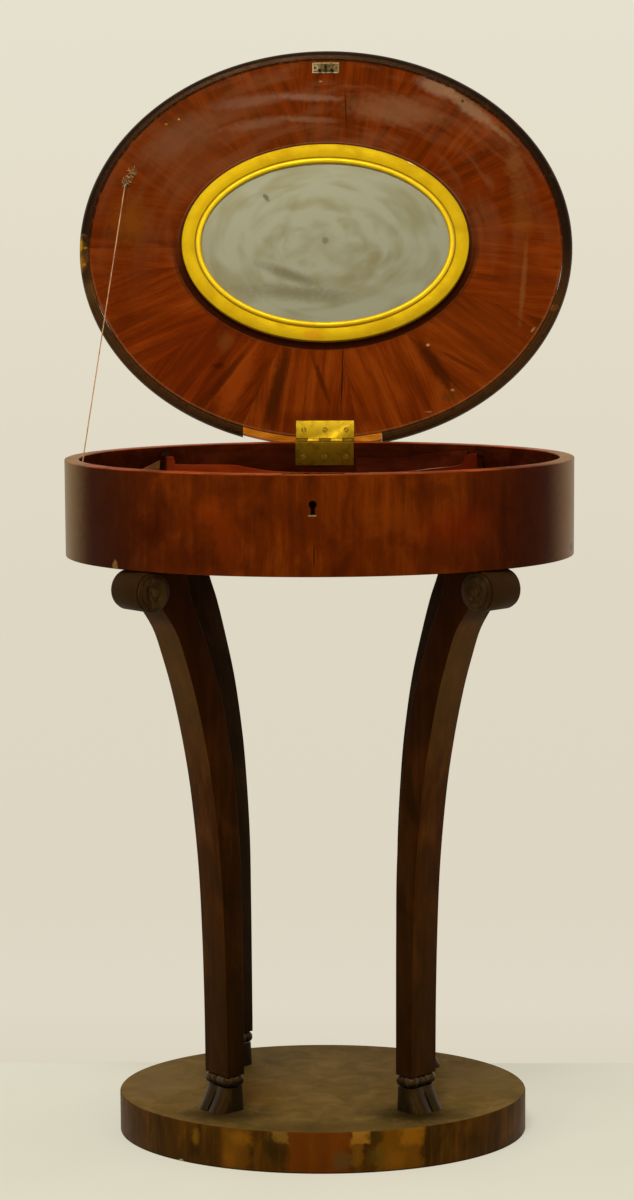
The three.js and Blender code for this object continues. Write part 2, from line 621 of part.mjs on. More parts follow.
/** The oval wall, cut for the lock, its keyhole, the hinge leaf and the stay's nail. */
function wallGeometry() {
  const section = [
    [WALL_ARRIS, BOX_BOTTOM], [0, BOX_BOTTOM + WALL_ARRIS], [0, RIM_Z - WALL_ARRIS],
    [WALL_ARRIS, RIM_Z], [WALL, RIM_Z], [WALL, BOX_BOTTOM],
  ];
  const ring = ovalSweep(section, BOX_HALF_LENGTH, BOX_HALF_WIDTH);
  const through = WALL + 2 * OVERRUN;
  const round = bar(KEYHOLE_RADIUS, through, SMALL_STEPS);
  const keyFoot = new THREE.Vector3(0, -BOX_HALF_WIDTH - OVERRUN, KEYHOLE_Z);
  const keyRound = aimed(round, new THREE.Vector3(0, 1, 0), keyFoot);
  const keySlot = box(
    -KEYHOLE_SLOT / 2, KEYHOLE_SLOT / 2,
    -BOX_HALF_WIDTH - OVERRUN, -BOX_HALF_WIDTH + WALL,
    KEYHOLE_Z - KEYHOLE_LENGTH, KEYHOLE_Z,
  );
  const flangeHalf = LOCK_WIDTH / 2 + LOCK_FLANGE + SEAT;
  const lockBottom = RIM_Z - LOCK_HEIGHT;
  const pocket = box(
    -LOCK_WIDTH / 2 - SEAT, LOCK_WIDTH / 2 + SEAT,
    LOCK_BACK_Y - LOCK_DEPTH - SEAT, LOCK_BACK_Y + OVERRUN,
    lockBottom - SEAT, RIM_Z + OVERRUN,
  );
  const flange = box(
    -flangeHalf, flangeHalf,
    LOCK_BACK_Y - SEAT, LOCK_BACK_Y + OVERRUN,
    lockBottom - LOCK_FLANGE - SEAT, RIM_Z + OVERRUN,
  );
  const selvedge = box(
    -flangeHalf, flangeHalf,
    LOCK_BACK_Y - LOCK_DEPTH - SEAT, LOCK_BACK_Y + OVERRUN,
    RIM_Z - LOCK_SHEET - SEAT, RIM_Z + OVERRUN,
  );
  const hingeHalf = HINGE_WIDTH / 2 + SEAT;
  const leafFace = box(
    -hingeHalf, hingeHalf,
    INNER_HALF_WIDTH - OVERRUN, INNER_HALF_WIDTH + SEAT,
    RIM_Z - HINGE_DOWN - SEAT, RIM_Z + OVERRUN,
  );
  const leafTop = box(
    -hingeHalf, hingeHalf,
    INNER_HALF_WIDTH - OVERRUN, BOX_HALF_WIDTH + OVERRUN,
    RIM_Z - HINGE_LEAF - SEAT, RIM_Z + OVERRUN,
  );
  const tools = [keyRound, keySlot, pocket, flange, selvedge, leafFace, leafTop];
  for (const { x } of HINGE_SCREWS) {
    const drilled = hole(SCREW_RADIUS, SCREW_LENGTH);
    const foot = new THREE.Vector3(x, INNER_HALF_WIDTH, RIM_Z - HINGE_SCREW_DOWN);
    tools.push(aimed(drilled, new THREE.Vector3(0, -1, 0), foot));
  }
  for (const { x } of LOCK_SCREWS) {
    const drilled = hole(SMALL_SCREW_RADIUS, SMALL_SCREW_LENGTH);
    const foot = new THREE.Vector3(x, LOCK_BACK_Y, LOCK_SCREW_Z);
    tools.push(aimed(drilled, new THREE.Vector3(0, 1, 0), foot));
  }
  const nail = hole(NAIL_RADIUS, NAIL_DEPTH);
  tools.push(aimed(nail, boxNailNormal(), boxNailFoot()));
  return cut(ring, tools);
}

const HINGE_SCREWS = [
  { side: "left", x: -HINGE_SCREW_PITCH },
  { side: "middle", x: 0 },
  { side: "right", x: HINGE_SCREW_PITCH },
];

const LOCK_SCREWS = [
  { side: "left", x: -(LOCK_WIDTH + LOCK_FLANGE) / 2 },
  { side: "right", x: (LOCK_WIDTH + LOCK_FLANGE) / 2 },
];

/** The floor panel inside the wall, drilled for the leg screws. */
function floorGeometry() {
  const levels = [[0, BOX_BOTTOM], [0, FLOOR_TOP]];
  const panel = ovalStack(INNER_HALF_LENGTH - SEAT, INNER_HALF_WIDTH - SEAT, levels);
  const tools = LEGS.map((leg) => {
    const centre = onLeg(leg, LEG_SCREW_INWARD, FLOOR_TOP);
    return hole(LEG_SCREW_RADIUS, FLOOR_THICKNESS + OVERRUN).translate(centre.x, centre.y, centre.z);
  });
  return cut(panel, tools);
}

/** The space inside the wall, a seat's width clear of it, for trimming the fitted boards. */
function roomInside() {
  return ovalStack(INNER_HALF_LENGTH - SEAT, INNER_HALF_WIDTH - SEAT, [[0, FLOOR_TOP], [0, RIM_Z]]);
}

/** A board's outline from the floor panel up to its swept top. */
function sweptOutline(shares, halfLength, dip) {
  const top = shares.map(([along, drop]) => [along * halfLength, RIM_Z - drop * dip]);
  return [[-halfLength, FLOOR_TOP + SEAT], [halfLength, FLOOR_TOP + SEAT], ...top.reverse()];
}

function wellBoard(shares, y) {
  const halfLength = DIVIDER_X - BOARD / 2 - SEAT;
  return board(sweptOutline(shares, halfLength, WELL_DIP), BOARD, y, true);
}

function dividerBoard(x) {
  const slab = board(sweptOutline(DIVIDER_SHARES, INNER_HALF_WIDTH, DIVIDER_DIP), BOARD, x, false);
  return common(slab, roomInside());
}

/** A thin lining bent along the inside of the rear wall, with a swept top. */
function rearLining() {
  const angleAt = (share) => Math.acos((share * BOX_HALF_LENGTH) / INNER_HALF_LENGTH);
  const from = angleAt(LINING_FROM_SHARE);
  const to = angleAt(LINING_TO_SHARE);
  const rings = LINING_SHARES.map(([along, drop]) => {
    const angle = from + (to - from) * along;
    const top = RIM_Z - drop * LINING_DIP;
    return [[SEAT, FLOOR_TOP + SEAT], [SEAT, top], [SEAT + LINING, top], [SEAT + LINING, FLOOR_TOP + SEAT]]
      .map(([inset, z]) => new THREE.Vector3(
        (INNER_HALF_LENGTH - inset) * Math.cos(angle),
        (INNER_HALF_WIDTH - inset) * Math.sin(angle),
        z,
      ));
  });
  return loft(rings);
}

/** The short board in the left bay, whose top slopes down from the divider to the wall. */
function wingBoard() {
  const face = -DIVIDER_X - BOARD / 2 - SEAT;
  const points = [
    [-INNER_HALF_LENGTH, FLOOR_TOP + SEAT], [face, FLOOR_TOP + SEAT], [face, RIM_Z - WING_TOP_DIP],
    [face - WING_LENGTH, RIM_Z - WING_LOW_DIP], [-INNER_HALF_LENGTH, RIM_Z - WING_LOW_DIP],
  ];
  return common(board(points, BOARD, WELL_HALF_WIDTH, true), roomInside());
}

/** The lock: a case let into the wall, with a flange inside and a slotted selvedge on the rim. */
function lockCase() {
  const half = LOCK_WIDTH / 2;
  const bottom = RIM_Z - LOCK_HEIGHT;
  const back = LOCK_BACK_Y;
  const front = back - LOCK_DEPTH;
  const wide = half + LOCK_FLANGE;
  const flange = box(-wide, wide, back, back + LOCK_SHEET, bottom - LOCK_FLANGE, RIM_Z);
  const shell = box(-half, half, front, back + LOCK_SHEET / 2, bottom, RIM_Z - LOCK_SHEET / 2);
  const room = box(
    -half + LOCK_SHEET, half - LOCK_SHEET,
    front - OVERRUN, back,
    bottom + LOCK_SHEET, RIM_Z - LOCK_SHEET,
  );
  const selvedge = box(-wide, wide, front, back + LOCK_SHEET, RIM_Z - LOCK_SHEET, RIM_Z);
  const slots = stapleXs().map((x) => box(
    x - STAPLE_SHEET / 2 - STAPLE_ROOM, x + STAPLE_SHEET / 2 + STAPLE_ROOM,
    stapleY() - STAPLE_WIDTH / 2 - STAPLE_ROOM, back - SEAT,
    RIM_Z - LOCK_SHEET - OVERRUN, RIM_Z + OVERRUN,
  ));
  const drills = LOCK_SCREWS.map(({ x }) => aimed(
    hole(SMALL_SCREW_RADIUS, 2 * LOCK_SHEET),
    new THREE.Vector3(0, 1, 0),
    new THREE.Vector3(x, back + LOCK_SHEET, LOCK_SCREW_Z),
  ));
  return cut(join([cut(shell, [room]), flange, selvedge]), [...slots, ...drills]);
}

const stapleXs = () => [-STAPLE_PITCH / 2, STAPLE_PITCH / 2];
const stapleY = () => LOCK_BACK_Y - SEAT - STAPLE_ROOM - STAPLE_WIDTH / 2;

/** The sliding bolt: a bar with two hooks, each as long as its travel, that catch the staples. */
function lockBolt() {
  const prongTop = RIM_Z - STAPLE_DROP + LID_GAP + STAPLE_WIRE + BOLT_PRONG - RUNNING;
  const prongBottom = prongTop - BOLT_PRONG / 2;
  const barTop = RIM_Z - STAPLE_DROP - STAPLE_ROOM;
  const barBottom = barTop - BOLT_BAR;
  const y = stapleY();
  const front = y - BOLT_THICKNESS / 2;
  const back = y + BOLT_THICKNESS / 2;
  const tips = stapleXs().map((x) => x - STAPLE_SHEET / 2 - RUNNING);
  const left = tips[0] - BOLT_TRAVEL - BOLT_PRONG;
  const barPiece = box(left, tips[1] + BOLT_PRONG, front, back, barBottom, barTop);
  const hooks = tips.flatMap((tip) => {
    const root = tip - BOLT_TRAVEL;
    return [
      box(root - BOLT_PRONG / 2, root, front, back, barTop - BOLT_BAR / 2, prongTop),
      box(root - BOLT_PRONG / 2, tip, front, back, prongBottom, prongTop),
    ];
  });
  const runner = box(
    -BOLT_BAR, BOLT_BAR,
    y, LOCK_BACK_Y - SEAT,
    barBottom, barTop - BOLT_BAR / 2,
  );
  return join([barPiece, ...hooks, runner]);
}

function lockScrew(x) {
  const one = screw(SMALL_SCREW_RADIUS, SMALL_SCREW_LENGTH, SMALL_SCREW_HEAD_RADIUS, SMALL_SCREW_HEAD_HEIGHT);
  return aimed(one, new THREE.Vector3(0, 1, 0), new THREE.Vector3(x, LOCK_BACK_Y + LOCK_SHEET, LOCK_SCREW_Z));
}

/** The inside face of the wall at the stay's nail, and the direction that leaves it. */
function boxNailAngle() {
  return Math.PI + Math.asin((BOX_HALF_WIDTH * BOX_NAIL_FRONT_SHARE) / INNER_HALF_WIDTH);
}

function boxNailFoot() {
  const angle = boxNailAngle();
  return new THREE.Vector3(
    INNER_HALF_LENGTH * Math.cos(angle),
    INNER_HALF_WIDTH * Math.sin(angle),
    RIM_Z - BOX_NAIL_DROP,
  );
}

function boxNailNormal() {
  const angle = boxNailAngle();
  const normal = new THREE.Vector3(-Math.cos(angle) / INNER_HALF_LENGTH, -Math.sin(angle) / INNER_HALF_WIDTH, 0);
  return normal.normalize();
}

/** A round headed nail along +Z, whose shank starts below the plane Z = 0. */
function nailGeometry() {
  return turned([
    [0, -NAIL_DEPTH], [NAIL_RADIUS, -NAIL_DEPTH + NAIL_RADIUS], [NAIL_RADIUS, NAIL_PROUD - NAIL_RADIUS],
    [NAIL_HEAD_RADIUS, NAIL_PROUD - NAIL_RADIUS / 2], [NAIL_HEAD_RADIUS / 2, NAIL_PROUD], [0, NAIL_PROUD],
  ], SMALL_STEPS);
}

/** The lid panel, closed, about the hinge axis, with its pockets. */
function lidPanel() {
  const panel = ovalStack(BOX_HALF_LENGTH, BOX_HALF_WIDTH, [[0, UNDERSIDE], [0, UNDERSIDE + LID_THICKNESS]]);
  panel.translate(0, LID_CENTRE_Y, 0);
  return cut(panel, [...hingePockets(), linkPocket(), ...lidDrills()]);
}

/** The room that the upper hinge leaf and the knuckle take out of the lid and its lipping. */
function hingePockets() {
  const half = HINGE_WIDTH / 2 + SEAT;
  const leaf = box(-half, half, -HINGE_UP - SEAT, OVERRUN, UNDERSIDE - OVERRUN, UNDERSIDE + HINGE_LEAF + SEAT);
  const knuckle = box(
    -half, half,
    -KNUCKLE_RADIUS - RUNNING, AXIS_BEHIND_WALL + LIPPING + OVERRUN,
    UNDERSIDE - OVERRUN, KNUCKLE_RADIUS + RUNNING,
  );
  return [leaf, knuckle];
}

/** The shallow pocket that lets the link plate in flush with the lid's underside. */
function linkPocket() {
  const halfLength = LINK_LENGTH / 2 + SEAT;
  const halfWidth = LINK_WIDTH / 2 + SEAT;
  const y = linkY();
  return box(
    -halfLength, halfLength,
    y - halfWidth, y + halfWidth,
    UNDERSIDE - OVERRUN, UNDERSIDE + LINK_SHEET + SEAT,
  );
}

/** Holes in the lid's underside for the hinge, link plate and stay fixings. */
function lidDrills() {
  const down = new THREE.Vector3(0, 0, -1);
  const drills = HINGE_SCREWS.map(({ x }) => aimed(
    hole(SCREW_RADIUS, SCREW_LENGTH),
    down,
    new THREE.Vector3(x, -HINGE_SCREW_UP, UNDERSIDE),
  ));
  for (const { x } of LINK_SCREWS) {
    const drilled = hole(SMALL_SCREW_RADIUS, SMALL_SCREW_LENGTH);
    drills.push(aimed(drilled, down, new THREE.Vector3(x, linkY(), UNDERSIDE)));
  }
  drills.push(aimed(hole(NAIL_RADIUS, NAIL_DEPTH), down, lidNailFoot()));
  return drills;
}

const lidNailFoot = () => new THREE.Vector3(
  -BOX_HALF_LENGTH * LID_NAIL_LEFT_SHARE,
  LID_CENTRE_Y - BOX_HALF_WIDTH * LID_NAIL_FRONT_SHARE,
  UNDERSIDE,
);
const linkY = () => stapleY() - AXIS_Y;
const LINK_SCREWS = [
  { side: "left", x: -LINK_SCREW_SPREAD / 2 },
  { side: "right", x: LINK_SCREW_SPREAD / 2 },
];

/** The stretch of the lid's rear edge where the bead gives way to lipping, narrowed by a gap. */
function rearStretch(gap) {
  return box(
    BEAD_CUT_LEFT + gap, BEAD_CUT_RIGHT - gap,
    0, BOX_HALF_WIDTH + EDGE_BEAD + OVERRUN,
    UNDERSIDE - OVERRUN, UNDERSIDE + LID_THICKNESS + OVERRUN,
  );
}

/** The half round bead about the lid's edge, left out above the hinge. */
function lidBead() {
  const middle = UNDERSIDE + LID_THICKNESS / 2;
  const swell = BEAD_SECTION_SHARES.map(([reach, rise]) => [
    -SEAT - reach * (EDGE_BEAD - SEAT),
    middle + (rise * LID_THICKNESS) / 2,
  ]);
  const section = [[-SEAT, UNDERSIDE], ...swell, [-SEAT, UNDERSIDE + LID_THICKNESS]];
  const ring = ovalSweep(section, BOX_HALF_LENGTH, BOX_HALF_WIDTH);
  return cut(ring, [rearStretch(0)]).translate(0, LID_CENTRE_Y, 0);
}

/** The flat pale lipping that fills the bead's place above the hinge. */
function lidLipping() {
  const section = [[-SEAT, UNDERSIDE], [-LIPPING, UNDERSIDE], [-LIPPING, UNDERSIDE + LID_THICKNESS],
    [-SEAT, UNDERSIDE + LID_THICKNESS]];
  const strip = common(ovalSweep(section, BOX_HALF_LENGTH, BOX_HALF_WIDTH), rearStretch(SEAT));
  return cut(strip.translate(0, LID_CENTRE_Y, 0), hingePockets());
}

const mirrorY = () => LID_CENTRE_Y - MIRROR_SHIFT;

/** The flat gilt band, rebated behind for the glass and its backing. */
function mirrorFrame() {
  const top = UNDERSIDE - SEAT;
  const face = top - FRAME_HEIGHT;
  const shelf = top - BACKING_THICKNESS - GLASS_THICKNESS - 2 * SEAT;
  const section = [
    [0, top], [0, face + FRAME_EDGE], [FRAME_EDGE, face],
    [FRAME_BAND - FRAME_EDGE, face], [FRAME_BAND, face + FRAME_EDGE],
    [FRAME_BAND, shelf], [FRAME_BAND - FRAME_REBATE, shelf], [FRAME_BAND - FRAME_REBATE, top],
  ];
  return ovalSweep(section, MIRROR_HALF_LENGTH, MIRROR_HALF_WIDTH).translate(0, mirrorY(), 0);
}

/** The rounded gilt lip between the band and the glass. */
function mirrorLip() {
  const base = UNDERSIDE - 3 * SEAT - BACKING_THICKNESS - GLASS_THICKNESS;
  const face = UNDERSIDE - SEAT - FRAME_HEIGHT - LIP_PROUD;
  const inset = FRAME_BAND + SEAT;
  const crest = LIP_SECTION_SHARES.map(([across, rise]) => [
    inset + across * LIP_WIDTH,
    base + rise * (face - base),
  ]);
  const section = [[inset, base], ...crest, [inset + LIP_WIDTH, base]];
  return ovalSweep(section, MIRROR_HALF_LENGTH, MIRROR_HALF_WIDTH).translate(0, mirrorY(), 0);
}

/** An oval sheet inside the frame's rebate, between two heights. */
function mirrorSheet(top, thickness) {
  const inset = FRAME_BAND - FRAME_REBATE + SEAT;
  const levels = [[0, top - thickness], [0, top]];
  return ovalStack(MIRROR_HALF_LENGTH - inset, MIRROR_HALF_WIDTH - inset, levels).translate(0, mirrorY(), 0);
}

/** The plate let into the lid's front edge, with the two staples that drop into the lock. */
function linkPlate() {
  const y = linkY();
  const face = UNDERSIDE;
  const plate = box(
    -LINK_LENGTH / 2, LINK_LENGTH / 2,
    y - LINK_WIDTH / 2, y + LINK_WIDTH / 2,
    face, face + LINK_SHEET,
  );
  const staples = stapleXs().map((x) => {
    const staple = box(
      x - STAPLE_SHEET / 2, x + STAPLE_SHEET / 2,
      y - STAPLE_WIDTH / 2, y + STAPLE_WIDTH / 2,
      face - STAPLE_DROP, face + LINK_SHEET / 2,
    );
    const eye = box(
      x - STAPLE_SHEET, x + STAPLE_SHEET,
      y - STAPLE_WIDTH / 2 + STAPLE_WIRE, y + STAPLE_WIDTH / 2 - STAPLE_WIRE,
      face - STAPLE_DROP + STAPLE_WIRE, face,
    );
    return cut(staple, [eye]);
  });
  const drills = LINK_SCREWS.map(({ x }) => aimed(
    countersink(SMALL_SCREW_RADIUS, 2 * LINK_SHEET, SMALL_SCREW_HEAD_RADIUS, SMALL_SCREW_HEAD_HEIGHT),
    new THREE.Vector3(0, 0, -1),
    new THREE.Vector3(x, y, face),
  ));
  return cut(join([plate, ...staples]), drills);
}

/** Middles of the hinge's barrels along X, every other one on the lid's leaf. */
function barrelMiddles(onLid) {
  const first = (BARREL_LENGTH - HINGE_WIDTH) / 2;
  const middles = Array.from({ length: HINGE_BARRELS }, (_, i) => first + i * BARREL_LENGTH);
  return middles.filter((_, i) => (i % 2 === 1) === onLid);
}

/** Joins a leaf to its own barrels, clears it from the other leaf's and bores it for the pin. */
function hingeLeaf(plates, onLid) {
  const own = barrelMiddles(onLid).map((middle) => {
    const barrel = crossBar(KNUCKLE_RADIUS, BARREL_LENGTH - RUNNING, SMALL_STEPS);
    return barrel.translate(middle, 0, 0);
  });
  const room = KNUCKLE_RADIUS + RUNNING;
  const reach = (BARREL_LENGTH + RUNNING) / 2;
  const clear = barrelMiddles(!onLid).map((middle) => box(
    middle - reach, middle + reach,
    -room, room,
    -room, room,
  ));
  const bore = crossBar(PIN_RADIUS + PIN_CLEARANCE, HINGE_WIDTH + 2 * OVERRUN, SMALL_STEPS);
  return cut(join([cut(join(plates), clear), ...own]), [bore]);
}

/** The countersunk hole through a hinge leaf for one screw. */
function leafDrill() {
  return countersink(SCREW_RADIUS, 2 * HINGE_LEAF, SCREW_HEAD_RADIUS, SCREW_HEAD_HEIGHT);
}

function hingeLidLeaf() {
  const half = HINGE_WIDTH / 2;
  const plate = box(-half, half, -HINGE_UP, -PIN_RADIUS, UNDERSIDE, UNDERSIDE + HINGE_LEAF);
  const drills = HINGE_SCREWS.map(({ x }) => aimed(
    leafDrill(),
    new THREE.Vector3(0, 0, -1),
    new THREE.Vector3(x, -HINGE_SCREW_UP, UNDERSIDE),
  ));
  return cut(hingeLeaf([plate], true), drills);
}

/** The box's leaf, bent over the wall's top and down its inner face, about the hinge axis. */
function hingeBoxLeaf() {
  const half = HINGE_WIDTH / 2;
  const inner = INNER_HALF_WIDTH - AXIS_Y;
  const top = RIM_Z - AXIS_Z;
  const over = box(-half, half, inner - HINGE_LEAF, -PIN_RADIUS, top - HINGE_LEAF, top);
  const down = box(-half, half, inner - HINGE_LEAF, inner, top - HINGE_DOWN, top);
  const drills = HINGE_SCREWS.map(({ x }) => aimed(
    leafDrill(),
    new THREE.Vector3(0, -1, 0),
    new THREE.Vector3(x, inner - HINGE_LEAF, top - HINGE_SCREW_DOWN),
  ));
  return cut(hingeLeaf([over, down], false), drills).translate(0, AXIS_Y, AXIS_Z);
}

const hingePin = () => crossBar(PIN_RADIUS, HINGE_WIDTH, SMALL_STEPS).translate(0, AXIS_Y, AXIS_Z);

function hingeScrew() {
  return flushScrew(SCREW_RADIUS, SCREW_LENGTH, SCREW_HEAD_RADIUS, SCREW_HEAD_HEIGHT);
}

function hingeBoxScrew(x) {
  const foot = new THREE.Vector3(x, INNER_HALF_WIDTH - HINGE_LEAF, RIM_Z - HINGE_SCREW_DOWN);
  return aimed(hingeScrew(), new THREE.Vector3(0, -1, 0), foot);
}

function hingeLidScrew(x) {
  return aimed(hingeScrew(), new THREE.Vector3(0, 0, -1), new THREE.Vector3(x, -HINGE_SCREW_UP, UNDERSIDE));
}

function linkScrew(x) {
  const one = flushScrew(
    SMALL_SCREW_RADIUS, SMALL_SCREW_LENGTH,
    SMALL_SCREW_HEAD_RADIUS, SMALL_SCREW_HEAD_HEIGHT,
  );
  return aimed(one, new THREE.Vector3(0, 0, -1), new THREE.Vector3(x, linkY(), UNDERSIDE));
}

/** The stay string, tied below both nail heads, taut as the open lid draws it. */
function stayString(lid) {
  lid.updateMatrixWorld(true);
  const lidEnd = lidNailFoot().setZ(UNDERSIDE - NAIL_PROUD / 3).applyMatrix4(lid.matrixWorld);
  const boxEnd = boxNailFoot().addScaledVector(boxNailNormal(), NAIL_PROUD / 3);
  const run = new THREE.Vector3().subVectors(boxEnd, lidEnd).normalize();
  const clear = NAIL_HEAD_RADIUS + STRING_DIAMETER;
  lidEnd.addScaledVector(run, clear);
  boxEnd.addScaledVector(run, -clear);
  const round = new THREE.Path().absarc(0, 0, STRING_DIAMETER / 2, 0, 2 * Math.PI);
  const section = new THREE.Shape(round.getPoints(SCREW_STEPS / 2));
  return new THREE.ExtrudeGeometry(section, {
    steps: STRING_STEPS,
    bevelEnabled: false,
    extrudePath: new THREE.LineCurve3(lidEnd, boxEnd),
  });
}

/** The lid and all that turns with it, about the hinge axis. */
function lidGroup() {
  const lid = new THREE.Group();
  lid.position.set(0, AXIS_Y, AXIS_Z);
  lid.rotation.x = -LID_OPEN;
  const down = new THREE.Vector3(0, 0, -1);
  const backingTop = UNDERSIDE - SEAT;
  const glassTop = backingTop - BACKING_THICKNESS - SEAT;
  place(lid, "lid_panel", lidPanel(), mahogany());
  place(lid, "lid_edge_bead", lidBead(), ebonised());
  place(lid, "lid_rear_lipping", lidLipping(), paleWood());
  place(lid, "mirror_backing", mirrorSheet(backingTop, BACKING_THICKNESS), paleWood());
  place(lid, "mirror_glass", mirrorSheet(glassTop, GLASS_THICKNESS), silvered());
  place(lid, "mirror_frame", mirrorFrame(), gilt());
  place(lid, "mirror_lip", mirrorLip(), gilt());
  place(lid, "link_plate", linkPlate(), steel());
  for (const { side, x } of LINK_SCREWS) {
    place(lid, `link_plate_screw_${side}`, linkScrew(x), steel());
  }
  place(lid, "hinge_lid_leaf", hingeLidLeaf(), brass());
  for (const { side, x } of HINGE_SCREWS) {
    place(lid, `hinge_lid_screw_${side}`, hingeLidScrew(x), brass());
  }
  place(lid, "stay_nail_lid", aimed(nailGeometry(), down, lidNailFoot()), steel());
  return lid;
}

function addLegs(table) {
  for (const leg of LEGS) {
    const group = new THREE.Group();
    group.position.set(leg.x * LEG_X, leg.y * LEG_Y, 0);
    group.rotation.z = legTurn(leg);
    place(group, `leg_${leg.name}`, legGeometry(), legWood());
    place(group, `roll_end_${leg.name}_long_side`, rollEnd(leg.x * leg.y), legWood());
    place(group, `roll_end_${leg.name}_short_side`, rollEnd(-leg.x * leg.y), legWood());
    place(group, `ankle_collar_${leg.name}`, collarGeometry(), ebonised());
    place(group, `hoof_${leg.name}`, hoofGeometry(), ebonised());
    table.add(group);
    place(table, `leg_screw_${leg.name}`, legScrew(leg), steel());
  }
}

const table = new THREE.Group();
place(table, "plinth", plinthGeometry(), mahogany());
addLegs(table);
place(table, "box_wall", wallGeometry(), mahogany());
place(table, "box_floor", floorGeometry(), paleWood());
place(table, "divider_left", dividerBoard(-DIVIDER_X), mahogany());
place(table, "divider_right", dividerBoard(DIVIDER_X), mahogany());
place(table, "well_back_board", wellBoard(BACK_BOARD_SHARES, WELL_HALF_WIDTH), mahogany());
place(table, "well_front_board", wellBoard(FRONT_BOARD_SHARES, -WELL_HALF_WIDTH), mahogany());
place(table, "rear_lining", rearLining(), mahogany());
place(table, "left_wing_board", wingBoard(), paleWood());
place(table, "lock_case", lockCase(), brass());
place(table, "lock_bolt", lockBolt(), steel());
for (const { side, x } of LOCK_SCREWS) {
  place(table, `lock_screw_${side}`, lockScrew(x), brass());
}
place(table, "hinge_box_leaf", hingeBoxLeaf(), brass());
place(table, "hinge_pin", hingePin(), brass());
for (const { side, x } of HINGE_SCREWS) {
  place(table, `hinge_box_screw_${side}`, hingeBoxScrew(x), brass());
}
place(table, "stay_nail_box", aimed(nailGeometry(), boxNailNormal(), boxNailFoot()), steel());
const lid = lidGroup();
table.add(lid);
place(table, "stay_string", stayString(lid), twine());

export default table;
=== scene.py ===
"""An old oval work table of mahogany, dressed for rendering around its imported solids.

Every size below is in millimetres, in the table's own frame: X along the oval, Y towards the
hinge, Z up from the floor. Meshes are turned to metres where they are made.
"""
from __future__ import annotations

import logging
import random
from collections.abc import Callable, Iterable, Sequence
from dataclasses import dataclass
from enum import Enum
from functools import partial
from math import acos, asin, atan2, cos, degrees, hypot, pi, prod, radians, sin, sqrt

import bmesh
import bpy
from mathutils import Matrix, Vector
from mathutils.geometry import tessellate_polygon


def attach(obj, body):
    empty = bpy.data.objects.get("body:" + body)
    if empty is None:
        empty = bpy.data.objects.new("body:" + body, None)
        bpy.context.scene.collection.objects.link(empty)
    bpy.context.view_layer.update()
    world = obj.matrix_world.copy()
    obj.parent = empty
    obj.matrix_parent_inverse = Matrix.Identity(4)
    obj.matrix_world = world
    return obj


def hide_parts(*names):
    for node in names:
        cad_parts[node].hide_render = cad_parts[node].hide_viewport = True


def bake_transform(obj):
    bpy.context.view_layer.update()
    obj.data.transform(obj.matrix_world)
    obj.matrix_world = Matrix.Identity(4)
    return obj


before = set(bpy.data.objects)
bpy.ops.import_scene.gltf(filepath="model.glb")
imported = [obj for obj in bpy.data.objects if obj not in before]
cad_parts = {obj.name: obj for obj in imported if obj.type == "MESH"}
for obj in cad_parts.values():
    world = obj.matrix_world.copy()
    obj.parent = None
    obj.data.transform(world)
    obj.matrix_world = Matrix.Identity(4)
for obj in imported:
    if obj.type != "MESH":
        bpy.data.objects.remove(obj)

LOG = logging.getLogger("work_table")
MM = 0.001
TABLE_BODY = "table"
LID_BODY = "lid"
BROKEN_EDGE = 32.0
DEEP = 50.0
SOFT_EDGE = 1.1
# Real pores, scratches and fibres are 0.02 to 0.3 mm wide. That is too fine to show in the render,
# so they are drawn as coarse as they need to be.
PORE = 0.9
SCRATCH = 0.35
FIBRE = 0.5
# What is worn, dull or dirty comes in patches of these sizes.
POLISH_PATCH = 38.0
WOOD_CHIP = 7.0
METAL_CHIP = 3.0
SILVER_CHIP = 4.0
TARNISH_SPECK = 0.9
SILVER_SMEAR = 26.0
SILVER_GRIME = 60.0
STRING_GRIME = 14.0

Point = tuple[float, float, float]
Pair = tuple[float, float]
Profile = Sequence[Pair]
Skin = tuple[list[Sequence[float]], list[Sequence[int]]]
Piece = bpy.types.Object
Socket = bpy.types.NodeSocket
Tree = bpy.types.ShaderNodeTree
Adder = Callable[..., Socket]


# Sizes that more than one sub-assembly shares


@dataclass
class TableSizes:
    """The table's driving sizes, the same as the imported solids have."""

    rim: float = 760.0
    box_half_length: float = 281.0
    box_half_width: float = 229.0
    box_height: float = 107.0
    wall: float = 16.0
    floor: float = 12.0
    lid_gap: float = 0.4
    axis_behind_wall: float = 3.4
    lid_open: float = radians(104.0)
    lid_thickness: float = 14.0
    seat: float = 0.3
    hinge_width: float = 68.0
    hinge_leaf: float = 1.6
    hinge_up: float = 24.0
    hinge_down: float = 27.0
    hinge_knuckle: float = 3.0
    hinge_running: float = 0.4
    overrun: float = 5.0

    def __post_init__(self) -> None:
        """Works out the heights, the room inside, the hinge's axis and the open lid's own frame.

        That frame has its origin on the axis. The lid's underside lies a little above it.
        """
        self.bottom = self.rim - self.box_height
        self.floor_top = self.bottom + self.floor
        self.inner_half_length = self.box_half_length - self.wall
        self.inner_half_width = self.box_half_width - self.wall
        self.axis_y = self.box_half_width + self.axis_behind_wall
        self.axis_z = self.rim + self.lid_gap / 2
        self.underside = self.lid_gap / 2
        turn = Matrix.Rotation(-self.lid_open, 4, "X")
        self.lid_frame = Matrix.Translation(Vector((0.0, self.axis_y, self.axis_z)) * MM) @ turn


SIZES = TableSizes()
LID_CENTRE_Y = -SIZES.axis_y


# Meshes


